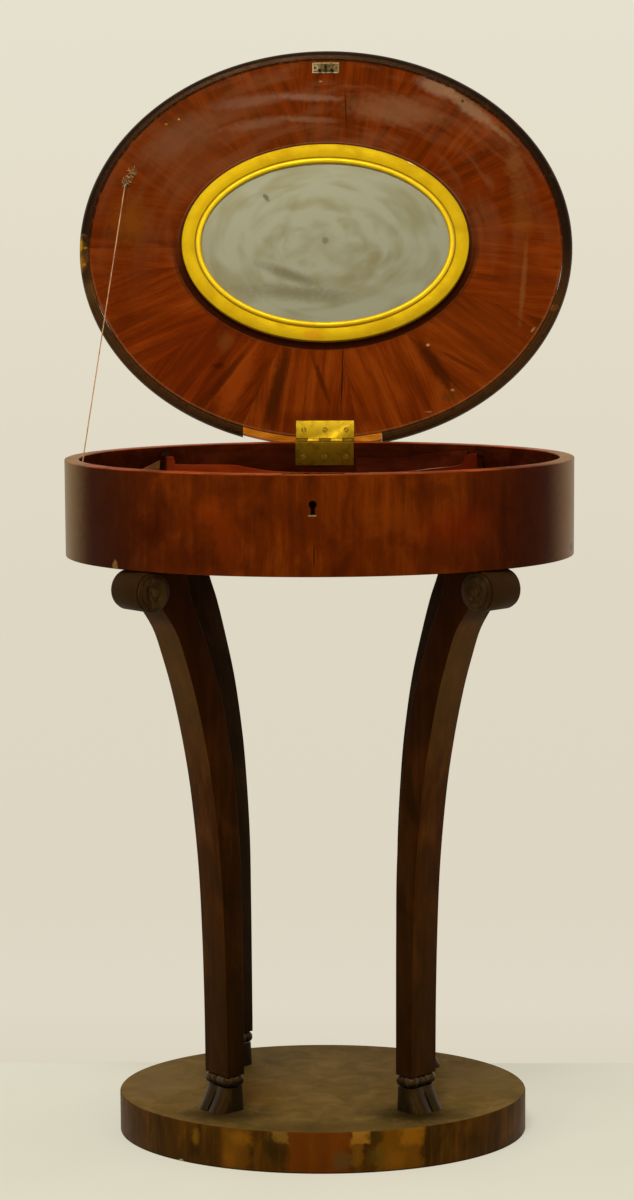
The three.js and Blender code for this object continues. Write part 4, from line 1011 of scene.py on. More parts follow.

# Old mahogany veneer under worn shellac. The eye sees a dark red brown in soft clouds, with
# faint upright grain, and a pale gloss only where it curves away: a coat there, and painted sheen on both
# ends.
BOX_VENEER = Wood(
    "mahogany_veneer_upright", ("3c1302", "521d02", "6c2c04"),
    figure=26, figure_long=0.6, streak=7, figure_share=0.6, spread=0.36, pore_depth=0.5, roughness=0.4,
    specular=0.045, glossy_beyond=240.0,
    marks=(
        # Painted shade: both ends darkened where the wall curves away from the light.
        Mark(-235, -110, 706, 66, 95, 200, "280a00", 0.85, 0.2, 1.5),
        Mark(235, -110, 706, 80, 95, 200, "280800", 0.85, 0.2, 1.5),
        # Painted sheen: pale haze on both ends, standing in for the polish's reflection where the wall turns
        # away.
        Mark(-288, -60, 706, 28, 80, 200, "80602a", 0.8, 0.2, 1.8),
        Mark(288, -60, 706, 24, 80, 200, "805620", 0.8, 0.2, 1.8),
        Mark(-107, -213, 718, 17, 30, 15, "702602", 0.45, 0.8, 1.8),
        Mark(-173, -180, 694, 20, 30, 16, "330b00", 0.6, 0.6, 1.2),
        Mark(-140, -198, 668, 22, 40, 12, "3a0f01", 0.6, 0.6, 1.2),
        Mark(-90, -216, 690, 12, 30, 26, "682402", 0.5, 0.7, 1.2),
        Mark(88, -218, 712, 26, 30, 14, "6a2c04", 0.45, 0.7, 1.2),
        Mark(150, -194, 702, 34, 40, 16, "601903", 0.55, 0.8, 1.8),
        Mark(121, -207, 739, 22, 30, 10, "3c1201", 0.5, 0.7, 1.2),
        Mark(1, -229, 676, 0.7, 8, 13.5, "1e0a01", 0.85, 0.1, 0.5),
        Mark(-213, -149, 656, 3.2, 9, 6.5, "7c5a2c", 0.9, 0.7, 0.5),
        Mark(276, -41, 664, 5, 8, 4, "4a2c10", 0.9, 0.6, 0.3),
        Mark(-0.5, -229, 717.2, 4.2, 5, 0.7, "847048", 0.9, 0.1, 0.3, square=True),
    ),
)
# The wood of the wall laid bare along the rim, where the polish is thin. Its lighter tone is partly a painted
# highlight where the arris catches the light.
RIM_WOOD = Wood(
    "mahogany_rim", ("5c2204", "84320a", "9c4212"),
    grain=Grain.ALONG_X, figure_share=0.7, roughness=0.42, specular=0.12, streak=7, line=1.3, spread=0.2,
    marks=(
        # Painted sheen: pale at both ends of the rim, as on the wall below.
        Mark(-272, -30, 760, 26, 100, 6, "8e7448", 0.65, 0.3, 1.4),
        Mark(272, -30, 760, 26, 100, 6, "8e7448", 0.65, 0.3, 1.4),
        Mark(196, 160, 760, 5, 9, 6, "b08a30", 0.9, 0.5, 0.4),
    ),
)
# Old mahogany veneer laid in twelve leaves round the lid's middle. The eye sees a red brown that
# changes a little from leaf to leaf, under cloudy pale bloom and pulled streaks of polish.
LID_VENEER = Wood(
    "mahogany_veneer_sunburst", ("441301", "642202", "7e3408"),
    grain=Grain.SUNBURST, figure=46, streak=10, line=1.6, figure_share=0.4, spread=0.24, roughness=0.42,
    specular=0.07, segments=12,
    bloom=Bloom(LID_OVAL, "76482a", 0.4, 15.0, -130.0, -310.0),
    marks=(
        spot(-165, -365, 120, 80, "54280e", 0.38, 0.3, 1.8),
        spot(-240, -245, 46, 90, "521b04", 0.48, 0.3, 1.8),
        spot(238, -235, 40, 95, "5a1f04", 0.36, 0.3, 1.8),
        spot(165, -120, 70, 60, "7c360a", 0.3, 0.3, 1.8),
        spot(-150, -105, 60, 50, "782604", 0.3, 0.3, 1.8),
        streak((-131, -405), (-49, -416), 14, "805c44", 0.36),
        streak((-52, -416), (14, -413), 8, "84604a", 0.5),
        streak((-116, -376), (-47, -389), 12, "7e5a40", 0.4),
        streak((-50, -389), (12, -386), 7, "7e5a40", 0.42),
        streak((-215, -342), (-125, -392), 30, "704c34", 0.35),
        streak((-190, -300), (-120, -340), 30, "643a20", 0.3),
        streak((30, -404), (126, -392), 30, "7a5232", 0.5),
        streak((112, -434), (153, -416), 17, "947254", 0.5),
        streak((148, -418), (198, -380), 15, "947252", 0.52),
        streak((194, -382), (224, -357), 6, "8a6440", 0.4),
        spot(224, -333, 9, 15, "7c5028", 0.4, 0.8, 1.6),
        spot(229, -300, 8, 15, "784a22", 0.35, 0.8, 1.6),
        spot(233, -263, 11, 15, "744618", 0.35, 0.8, 1.6),
        streak((238, -232), (230, -143), 6, "7e4e24", 0.4, 0.8),
        spot(-233, -265, 18, 24, "7c4610", 0.4, 0.8, 1.7),
        spot(-118, -119, 8, 11, "70441c", 0.35, 0.8, 1.7),
        streak((-86, -112), (-122, -36), 24, "8c3a0a", 0.6),
        streak((-70, -112), (-84, -30), 7, "4c1c01", 0.5),
        streak((-45, -110), (-70, -12), 15, "381401", 0.85),
        streak((-38, -106), (-52, -14), 5, "84380a", 0.5),
        streak((-90, -112), (-145, -42), 8, "3c1201", 0.8),
        streak((-103, -118), (-150, -62), 5, "4a1702", 0.5),
        streak((-26, -104), (-34, -34), 9, "7e3206", 0.5),
        streak((-14, -98), (4, -48), 6, "3e1401", 0.75),
        streak((34, -108), (60, -24), 14, "7c3004", 0.45),
        streak((86, -104), (108, -58), 6, "461701", 0.5),
        streak((108, -120), (152, -58), 15, "381201", 0.9),
        streak((124, -118), (176, -80), 10, "84380a", 0.5),
        streak((135, -107), (184, -80), 4.5, "421402", 0.65),
        streak((-150, -140), (-238, -96), 9, "4e1a02", 0.45),
        streak((-168, -160), (-262, -136), 8, "4e1a02", 0.4),
        streak((-140, -118), (-196, -70), 8, "4c1802", 0.45),
        streak((160, -130), (224, -90), 12, "5a1e02", 0.4),
        spot(-127, -90, 7, 3.4, "300a00", 0.7, 0.6, 1.2),
        streak((21, -110), (19, -34), 1.6, "1c0a02", 0.85, 0.2),
        streak((23, -424), (25, -376), 1.7, "281206", 0.8, 0.3),
        spot(121, -114, 1.9, 1.6, "b08048", 0.85, 0.4, 0.6),
        spot(150, -60, 2.4, 1.6, "94744e", 0.8, 0.6, 0.6),
        spot(145, -52, 10, 5, "4c2a0a", 0.6, 0.8, 1.2),
        spot(122, -34, 4, 1.2, "80603a", 0.6, 0.7, 0.6),
        spot(245, -132, 1.3, 4, "8c7048", 0.7, 0.6, 0.6, 40),
        spot(-175, -389, 1.2, 1.1, "b88a50", 0.8, 0.4, 0.6),
        spot(-190, -383, 1.8, 1.2, "a06418", 0.7, 0.5, 0.6),
        spot(163, -409, 1.8, 1.8, "3a2c10", 0.9, 0.4, 0.4),
        spot(-6, -434, 1.9, 0.9, "947850", 0.7, 0.8, 0.6),
        spot(0, -26, 60, 9, "4a1602", 0.45, 0.3, 1.2),
    ),
    lines=(
        # Painted shadow: a thin dark line round the frame's upper part, where the frame shades the veneer.
        EdgeLine(Oval(172.5, 121.5, FRAME_CENTRE_Y), "3c2010", 2.4, 0.7, -120.0, -200.0),
        EdgeLine(Oval(174.4, 123.4, FRAME_CENTRE_Y), "7a5a44", 1.4, 0.35, -200.0, -300.0),
        # Painted shadow: the broad dark band that the frame casts on the veneer below it.
        EdgeLine(Oval(174.0, 123.0, FRAME_CENTRE_Y), "220702", 10.5, 0.95, -300.0, -180.0, 0.3),
        EdgeLine(Oval(179.6, 128.6, FRAME_CENTRE_Y), "80441f", 1.3, 0.3, -260.0, -170.0),
        # Painted shade in the join between the panel and the bead, along the upper part.
        EdgeLine(Oval(280, 228), "1a0a04", 2.6, 0.85, -190.0, -260.0),
        EdgeLine(Oval(279, 227), "7a5630", 1.8, 0.4, -260.0, -150.0),
    ),
)
# Plain veneer with long grain. The eye sees an even red brown with a soft shine.
LID_TOP_VENEER = Wood(
    "mahogany_veneer_top", ("3a1202", "5c2203", "783206"),
    grain=Grain.ALONG_X, figure=70, figure_long=0.3, streak=12, line=1.8, spread=0.24, roughness=0.34,
    specular=0.2,
)
# Upright veneer, patched and rubbed. The eye sees a flat olive brown with redder repairs.
PLINTH_VENEER = Wood(
    "mahogany_veneer_plinth", ("2c1a05", "3f2607", "553308"),
    figure=26, streak=5, figure_share=0.55, spread=0.26, specular=0.05,
    marks=(
        Mark(2, -179, 23, 34, 12, 40, "622c04", 0.62, 0.3, 0.35, square=True),
        Mark(-90, -166, 22, 16, 12, 30, "6c420c", 0.52, 0.5, 0.9, square=True),
        Mark(-84, -167, 36, 9, 12, 7, "84540f", 0.42, 0.8, 1.6),
        Mark(-97, -164, 12, 7, 12, 9, "7c4a0e", 0.42, 0.9, 1.6),
        Mark(-41, -178, 40, 8, 10, 6.5, "7c5a22", 0.55, 0.8, 0.6, square=True),
        Mark(-50, -177, 28, 9, 12, 10, "241c06", 0.6, 0.8, 1.2),
        Mark(47, -178, 40, 10, 10, 7.5, "94621c", 0.72, 0.5, 0.35, square=True),
        Mark(42, -178, 22, 7, 10, 14, "6c460e", 0.5, 0.8, 0.8, square=True),
        Mark(26, -179, 14, 10, 10, 11, "4c3a1c", 0.6, 0.8, 0.8),
        Mark(88, -166, 24, 25, 14, 30, "684008", 0.6, 0.5, 0.5, square=True),
        Mark(101, -163, 38, 11, 12, 9, "8a560e", 0.5, 0.8, 1.0, square=True),
        Mark(84, -168, 12, 10, 12, 8, "7c4c0e", 0.42, 0.9, 1.6),
        Mark(62, -175, 39, 8, 12, 8, "282006", 0.75, 0.8, 1.0),
        Mark(62, -175, 18, 9, 12, 9, "4c3a10", 0.5, 0.8, 1.2),
        Mark(-134, -146, 31, 4, 12, 8, "74520f", 0.55, 0.9, 1.2),
        Mark(118, -154, 22, 3, 12, 30, "241604", 0.6, 0.5, 0.8),
        Mark(-110, -158, 22, 6, 12, 30, "2e1c04", 0.5, 0.6, 1.2),
        Mark(-151, -136, 0, 3.5, 6, 2.6, "c8bc98", 0.9, 0.4, 0.3),
        # Painted shadow: a dark line along the foot of the edge, where the plinth meets the floor.
        Mark(0, 0, 0, 300, 300, 2.2, "1c1204", 0.7, 0.1, 0.6),
    ),
)
# The top of the plinth, dusty and worn by feet, with painted shadows round the front hooves. The eye sees a
# dry olive brown.
PLINTH_TOP = Wood(
    "mahogany_plinth_top", ("584520", "6a5226", "7a6032"),
    grain=Grain.ALONG_X, figure_long=1.0, streak=5, line=1.6, figure_share=0.86, spread=0.46,
    pore_depth=0.45, roughness=0.6, specular=0.015,
    marks=(
        Mark(-75, -40, 46, 34, 50, 20, "5c3e0e", 0.5, 0.7, 1.2),
        # Painted shadows round the two front hooves.
        Mark(-106, -112, 46, 42, 30, 20, "241a0a", 0.85, 0.3, 1.6),
        Mark(106, -112, 46, 44, 32, 20, "1e1606", 0.9, 0.3, 1.6),
        Mark(0, -165, 46, 120, 24, 20, "4a3816", 0.6, 0.5, 1.4),
        Mark(-190, 10, 46, 36, 60, 20, "76603e", 0.5, 0.6, 1.2),
        Mark(190, 30, 46, 40, 60, 20, "6e5a34", 0.5, 0.6, 1.2),
        Mark(81, -91, 46, 8, 0.9, 20, "2c2008", 0.8, 0.3, 0.6),
    ),
)
# Solid mahogany, sawn and scraped, nearly black with age. The eye sees a dark tan brown on the
# broad faces, and at the sides a darker red brown that is painted shade.
LEG_WOOD = Wood(
    "mahogany_solid_outer", ("2c1604", "3b1d03", "4c2909"),
    figure_share=0.55, spread=0.26, specular=0.035,
    marks=(
        Mark(70, 0, 80, 200, 200, 170, "221303", 0.62, 0.1, 1.6),
        Mark(0, 0, 540, 600, 600, 80, "5a401e", 0.42, 0.3, 1.8),
        # Painted shade: a dark band across the roll's middle.
        Mark(0, 0, 628, 600, 600, 32, "231708", 0.7, 0.1, 0.5),
    ),
)
# The sawn sides of the front legs, painted darker as shade where they turn out of the light. The eye sees a
# darker, redder brown.
LEG_SIDE_SHADE = Wood(
    "mahogany_solid_side", ("1d0d02", "2a1302", "381c05"),
    figure_share=0.55, spread=0.26, specular=0.035,
    marks=(
        Mark(0, 0, 80, 400, 400, 190, "1c1103", 0.6, 0.1, 1.6),
        Mark(0, 0, 590, 600, 600, 130, "200a01", 0.6, 0.2, 1.6),
    ),
)
# The rear legs: the same mahogany painted darker as shade. The eye sees a dull brown black.
REAR_LEG_SHADE = Wood(
    "mahogany_solid_rear", ("160f05", "221507", "301d0a"),
    specular=0.04,
)
# Turned and polished ends. The eye sees a near black with small sharp lights on each step.
TURNED_WOOD = Wood(
    "mahogany_turned_dark", ("120a03", "241708", "3a2a12"),
    figure=22, streak=5, line=1.2, roughness=0.4, specular=0.2,
)
# Thin boards inside, kept from the light. The eye sees a fresher orange red with open grain.
INSIDE_WOOD = Wood(
    "mahogany_boards", ("561604", "6f2406", "853010"),
    grain=Grain.ALONG_X, figure=40, line=1.3, roughness=0.5, specular=0.02,
    # Painted shade: the right rear of the inside darkened.
    marks=(Mark(125, 90, 745, 85, 200, 80, "480f04", 0.85, 0.2, 1.4),),
)
# The wall's inner face, darker than its outside. The eye sees a dim red brown.
WALL_INSIDE = Wood(
    "mahogany_wall_inside", ("240902", "361002", "481a06"),
    grain=Grain.ALONG_X, figure=36, streak=7, figure_share=0.6, roughness=0.46, specular=0.03,
)
# Thin bent veneer, unpolished. The eye sees a dim red brown, a little darker in its grain.
LINING_WOOD = Wood(
    "mahogany_lining", ("280a02", "3a1104", "4c1c08"),
    grain=Grain.ALONG_X, figure=36, streak=7, figure_share=0.6, roughness=0.46, specular=0.02,
)
# A dark line painted as shade along the top edges of the lining and the dividers. The eye sees a flat line of
# near black red.
SHADED_EDGE = Wood(
    "mahogany_shaded_edge", ("120300", "1c0500", "260a02"),
    grain=Grain.ALONG_X, figure=20, roughness=0.9, specular=0.01, streak=7, line=1.3, spread=0.2,
)
# A highlight painted along the well boards' top edges, where light catches them. The eye sees a pale pinkish
# brown.
EDGE_HIGHLIGHT = Wood(
    "mahogany_worn_edge", ("6c3420", "94604a", "ac8068"),
    grain=Grain.ALONG_X, figure=16, figure_share=0.8, roughness=0.5, specular=0.05, streak=7, line=1.3,
    spread=0.2,
)
# A quarter inch board, unpolished, painted darker and redder as shade for the right divider. The eye sees a
# dark red brown.
RIGHT_POST_SHADE = Wood(
    "mahogany_post_red", ("340c04", "481206", "5c1e0c"),
    grain=Grain.ALONG_Y, line=1.3, roughness=0.5, specular=0.02,
)
# The same board without that shade, dusty. The eye sees a dry brown.
POST_WOOD = Wood(
    "mahogany_posts", ("2e1006", "3e1a0c", "502814"),
    grain=Grain.ALONG_Y, line=1.3, roughness=0.5, specular=0.02,
)
# Ebonised bead, rubbed by hands. The eye sees a brown black with a long soft highlight.
EBONISED = Wood(
    "ebonised_wood", ("0e0603", "1a0c05", "2e180a"),
    polish="a4744a", grain=Grain.ALONG_X, figure=26, figure_long=0.8, streak=8, line=1.6, figure_share=0.6,
    roughness=0.34, specular=0.34,
    marks=(
        Mark(-291, -226, 7, 11, 24, 20, "6c4814", 0.95, 0.5, 0.35),
        Mark(-290, -236, 7, 7, 7, 14, "b8860f", 0.8, 0.9, 0.6),
        Mark(-291, -216, 7, 6, 9, 14, "a06c10", 0.7, 0.9, 0.6),
        Mark(-288, -253.5, 7, 12, 3, 20, "0c0804", 0.95, 0.25, 0.4),
        Mark(-286, -199, 7, 12, 3.4, 20, "100a04", 0.95, 0.25, 0.4),
        Mark(-280, -180, 4, 14, 12, 20, "54401f", 0.6, 0.8, 0.8),
        Mark(270, -158, 0, 6, 4, 20, "6c3c10", 0.8, 0.6, 0.5),
        streak((22, -476), (22, -460), 1.4, "080402", 0.9, 0.1),
        streak((209, -402), (203, -385), 1.4, "080402", 0.9, 0.1),
        streak((-172, -422), (-166, -410), 1.4, "0a0502", 0.8, 0.1),
        streak((166, -42), (160, -30), 1.4, "0a0502", 0.8, 0.1),
    ),
    lines=(
        EdgeLine(Oval(288, 236), "3c240a", 9.0, 0.6, -270.0, -150.0),
        # Painted shadow under the bead's inner round, where it meets the panel.
        EdgeLine(Oval(284.8, 232.8), "0a0302", 7.0, 0.95, -180.0, -250.0),
        EdgeLine(Oval(282.6, 230.6), "5c4426", 1.4, 0.25, -260.0, -150.0),
    ),
)
# Carved and ebonised. The eye sees a black brown with pale rubbed edges.
HOOF_WOOD = Wood(
    "ebonised_wood_carved", ("110b04", "1a1308", "2c2214"),
    figure=14, streak=3, line=1.1, roughness=0.36, specular=0.3,
)
# Small ebonised beads, rubbed on top. The eye sees a black brown with a light on each bead.
BEAD_WOOD = Wood(
    "ebonised_beads", ("0e0a04", "1a140a", "3c3422"),
    figure=7, streak=3, line=1.1, figure_share=0.7, roughness=0.3, specular=0.4,
)
# Pine or deal left raw behind the hinge. The eye sees a dry, light orange wood.
RAW_WOOD = Wood(
    "raw_pale_wood", ("8a480a", "b06412", "c87e24"),
    grain=Grain.ALONG_X, figure=14, streak=3, line=1.1, figure_share=0.45, roughness=0.7,
)
# A dusty board. The eye sees a dry grey brown.
WING_WOOD = Wood(
    "dusty_board", ("54301a", "6c4424", "80583a"),
    grain=Grain.ALONG_X, figure=16, streak=4, line=1.1, roughness=0.7, specular=0.05,
)
# Water gilding on gesso, burnished on the lip. The eye sees a warm yellow metal, a little rubbed.
GILDING = Metal(
    "gilding_band", colour="bd9a10", tarnish="a47a08", tarnish_share=0.45, tarnish_size=20,
    roughness=0.5, scratches=0.1, bump=0.15, metallic=0.35,
    marks=(
        # Painted highlight: a thin pale glint along the band's outer edge at the upper right.
        Mark(102, -332, -8, 7, 1.6, 8, "ffe890", 0.9, 0.5, 0.5, 27),
        Mark(-14, -124, -8, 10, 6, 8, "c47c14", 0.5, 0.8, 1.0),
    ),
)
# The same gilding, burnished brighter on its round lip.
GILDING_LIP = Metal(
    "gilding_lip", colour="dcb81e", tarnish="b88c0c", tarnish_share=0.35, tarnish_size=16,
    roughness=0.38, scratches=0.1, bump=0.15, metallic=0.45,
)
# Cast and rolled brass, cleaned on the lid and left dull in the box.
BRASS = Metal(
    "rolled_brass", colour="d2ac24", tarnish="a07c08", tarnish_share=0.6, tarnish_size=11,
    roughness=0.5, scratches=0.3, metallic=0.75,
)
# Rolled brass left to tarnish. The eye sees a flat olive brown metal.
DULL_BRASS = Metal(
    "rolled_brass_dull", colour="785810", tarnish="4c3606", tarnish_share=0.7, tarnish_size=12,
    roughness=0.55, scratches=0.3, metallic=0.6,
)
# Sheet brass gone nearly black inside the wall.
LOCK_BRASS = Metal(
    "lock_brass", colour="30240c", tarnish="120c04", tarnish_share=0.8, tarnish_size=10,
    roughness=0.6, scratches=0.2, metallic=0.5,
)
# Turned brass. The eye sees small yellow heads with dark slots.
BRASS_SCREW = Metal(
    "brass_screws", colour="84641a", tarnish="402c06", tarnish_share=0.6, tarnish_size=2,
    roughness=0.45, scratches=0.4, metallic=0.8,
)
# Forged steel, rusted brown. The eye sees a dark dull metal.
STEEL = Metal(
    "forged_steel", colour="584628", tarnish="1e1408", tarnish_share=0.9, tarnish_size=4,
    roughness=0.5, scratches=0.3, metallic=0.7,
)
# Filed steel plate. The eye sees a brown plate with bright worn edges round its staples.
LINK_STEEL = Metal(
    "link_plate_steel", colour="5a4a2c", tarnish="241a0c", tarnish_share=0.9, tarnish_size=5,
    roughness=0.5, scratches=0.3, metallic=0.6,
    marks=(
        Mark(0, 338, 1203.3, 16, 20, 1.0, "a08c64", 0.5, 1.3, 0.6, square=True),
        Mark(0, 338, 1191.2, 16, 20, 1.0, "a89878", 0.55, 1.3, 0.6, square=True),
        Mark(-15.4, 338, 1197.2, 1.0, 20, 6.5, "a89470", 0.6, 0.9, 0.6, square=True),
        Mark(15.4, 338, 1197.2, 1.0, 20, 6.5, "8c7850", 0.35, 0.9, 0.6, square=True),
        Mark(-12.3, 338, 1197.6, 3.3, 20, 3.3, "a8946c", 0.55, 0.6, 0.6),
        Mark(12.3, 338, 1197.6, 3.3, 20, 3.3, "8c784c", 0.45, 0.6, 0.6),
        Mark(0, 338, 1197, 2.0, 20, 5.5, "0c0804", 0.9, 0.5, 0.8),
    ),
)
# Tin amalgam behind old glass. The eye sees a grey green haze with smears and a clear surface.
SILVERING = OldSilvering(
    "old_silvering", silver="72705a", smear="625b3c", centre_y=LID_CENTRE_Y - 2.0,
    spots=(
        Mark(-70, -291, 0, 5, 3.0, 20, "3a361e", 0.85, 0.5, 0.8, 50),
        Mark(0, -239, 0, 4, 4, 20, "4a4428", 0.8, 0.3, 1.0),
        Mark(-34, -176, 0, 56, 8, 20, "4e4628", 0.75, 0.4, 1.4, 4),
        Mark(-42, -198, 0, 34, 6, 20, "4a4226", 0.75, 0.4, 1.4, 20),
        Mark(30, -184, 0, 40, 7, 20, "625936", 0.45, 0.25, 1.6, 14),
        Mark(34, -206, 0, 34, 6, 20, "625936", 0.4, 0.25, 1.6, 24),
    ),
)
# Twisted linen. The eye sees a dry tan string.
LINEN = Twine("linen_string", light="c08c54", dark="84582c")
# Loose linen fibres that catch the light.
FRAYED = Twine("linen_frayed", light="c09038", dark="6c4814")
# Loose linen fibres in the shade.
FRAYED_DARK = Twine("linen_frayed_dark", light="5c3c18", dark="24140a")


class Bench:
    """Where finished pieces are put on the table, and each finish is mixed once."""

    def __init__(self) -> None:
        """Starts with no finish mixed."""
        self.mixed: dict[str, bpy.types.Material] = {}

    def coat(self, obj: Piece, finish: Finish) -> None:
        """Adds a finish to a piece, mixed the first time that it is asked for."""
        if finish.name not in self.mixed:
            self.mixed[finish.name] = finish.build()
        obj.data.materials.append(self.mixed[finish.name])

    def place(
        self, obj: Piece, body: str, slot: str, finish: Finish, node: str = "", at: Matrix | None = None,
    ) -> None:
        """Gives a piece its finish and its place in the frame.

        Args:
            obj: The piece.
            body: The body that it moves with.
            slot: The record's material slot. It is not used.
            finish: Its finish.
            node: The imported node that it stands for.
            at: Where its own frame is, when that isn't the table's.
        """
        if at:
            obj.matrix_world = at
        obj.data.materials.clear()
        self.coat(obj, finish)
        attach(obj, body)
        if node:
            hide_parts(node)
        LOG.info("%s rides on %s", obj.name, body)

    def paint(self, obj: Piece, finish: Finish, chosen: Callable[[Vector, Vector], bool]) -> None:
        """Gives some faces of a piece another finish.

        Args:
            obj: The piece.
            finish: The finish for those faces.
            chosen: Whether a face, by its centre in millimetres and its normal, is one of them.
        """
        self.coat(obj, finish)
        for polygon in obj.data.polygons:
            if chosen(polygon.center / MM, polygon.normal):
                polygon.material_index = len(obj.data.materials) - 1

    def dress(self, node: str, finish: Finish) -> None:
        """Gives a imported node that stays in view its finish.

        Args:
            node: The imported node.
            finish: Its finish.
        """
        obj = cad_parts[node]
        obj.data.materials.clear()
        self.coat(obj, finish)
        LOG.info("%s keeps its packed shape", node)


# Sub-assemblies


@dataclass
class Studio:
    """The camera, the floor and the lamps."""

    camera_place: Point = (107.5, -3525.4, 1043.5)
    yaw: float = 0.0314
    pitch: float = 0.1249
    roll: float = 0.0058
    lens: float = 96.07
    sensor: float = 36.0
    sky: tuple[tuple[float, str], ...] = (
        (-0.261, "dbd4c1"), (-0.2455, "dfd8c6"), (-0.214, "ddd6c3"), (-0.121, "ded7c3"), (-0.04, "e2dbc7"),
        (0.057, "e6e1ce"),
    )
    floor_colours: tuple[str, str] = ("e0dcc8", "e6e2ce")
    floor_edge: float = 264.0
    floor_back: float = 1600.0
    shadow_from: float = 330.0
    shadow_to: float = 900.0

    def build(self) -> None:
        """Builds the whole studio."""
        self.camera()
        self.world()
        self.floor()
        self.lamps()
        bpy.context.scene.view_settings.view_transform = "Standard"

    def camera(self) -> None:
        """The camera, where the photograph was taken from."""
        data = bpy.data.cameras.new("camera")
        data.sensor_fit = "VERTICAL"
        data.sensor_height = self.sensor
        data.lens = self.lens
        turn = Matrix.Rotation(self.yaw, 4, "Z") @ Matrix.Rotation(pi / 2 - self.pitch, 4, "X")
        turn @= Matrix.Rotation(-self.roll, 4, "Z")
        obj = link_object("camera", data)
        obj.matrix_world = move(*self.camera_place) @ turn
        bpy.context.scene.camera = obj

    def world(self) -> None:
        """A pale background for the camera and for reflections, and soft light for the rest."""
        world = bpy.data.worlds.new("studio")
        bpy.context.scene.world = world
        world.use_nodes = True
        world.node_tree.nodes.clear()
        add = partial(add_node, world.node_tree)
        rise = add(Kind.SPLIT, add(Kind.PLACE, out="Generated"), out=2)
        share = add(Kind.TIMES_PLUS, rise, 2.0, 0.6)
        colour = add(Kind.RAMP, share, stops=[(0.6 + 2.0 * z, code) for z, code in self.sky])
        seen = add(Kind.BACKGROUND, colour, 1.0)
        light = add(Kind.BACKGROUND, "f6f1e8", 0.56)
        add(Kind.WORLD, add(Kind.EITHER, self.looked_at(add), light, seen))

    def looked_at(self, add: Adder) -> Socket:
        """One for the rays that carry a picture, and none for those that only carry light."""
        rays = [add(Kind.RAYS, out=f"Is {name} Ray") for name in ("Camera", "Glossy", "Transmission")]
        return add(Kind.MAXIMUM, add(Kind.MAXIMUM, *rays[:2]), rays[2])

    def floor(self) -> None:
        """A plain pale floor, which takes a soft shadow near the table and fades into the background."""
        obj = make_object("floor", *block((-6000, -5000, -40), (6000, self.floor_back, 0)))
        material = bpy.data.materials.new("pale_floor")
        material.use_nodes = True
        tree = material.node_tree
        add = partial(add_node, tree)
        shader = tree.nodes["Principled BSDF"]
        place = add(Kind.PLACE, out="Object")
        cloud = add(Kind.NOISE, place, per_metre(400.0))
        colour = add(Kind.RAMP, cloud, stops=list(zip((0.3, 0.7), self.floor_colours)))
        feed(tree, colour, shader.inputs["Base Color"])
        feed(tree, add(Kind.TIMES_PLUS, cloud, 0.1, 0.75), shader.inputs["Roughness"])
        feed(tree, 0.0, shader.inputs["Specular IOR Level"])
        away = add(Kind.LENGTH, add(Kind.SCALED, place, (1.0, 1.0, 0.0)))
        y = add(Kind.SPLIT, place, out=1)
        beyond = add(Kind.STEP, y, (self.floor_edge - 6) * MM, (self.floor_edge + 6) * MM)
        share = add(Kind.DIVIDE, y, self.floor_back * MM)
        back = add(Kind.RAMP, share, stops=[(0.165, "dbd4c1"), (0.34, "dfd8c6"), (0.73, "ddd6c3")])
        plain = add(Kind.EMISSION, add(Kind.MIX, beyond, colour, back), 1.0)
        clear = add(Kind.STEP, away, self.shadow_from * MM, self.shadow_to * MM)
        share = add(Kind.MAXIMUM, add(Kind.TIMES_PLUS, clear, 0.45, 0.55), beyond)
        share = add(Kind.TIMES, share, self.looked_at(add))
        mixed = add(Kind.EITHER, share, shader.outputs[0], plain)
        feed(tree, mixed, tree.nodes["Material Output"].inputs["Surface"])
        obj.data.materials.append(material)

    def lamps(self) -> None:
        """A soft square lamp above and a larger one at each side, each aimed over the middle."""
        for name, place, height, size, power in (
            ("key", (-300, -1700, 3000), 700, 700, 42.0),
            ("fill_left", (-2100, -2600, 1500), 600, 1600, 16.0),
            ("fill_right", (2100, -2600, 1500), 600, 1600, 16.0),
        ):
            data = bpy.data.lights.new(name, "AREA")
            data.shape = "SQUARE"
            data.size = size * MM
            data.energy = power
            data.color = (1.0, 0.985, 0.955)
            link_object(name, data).matrix_world = aimed(Vector(place) - Vector((0, 0, height)), *place)


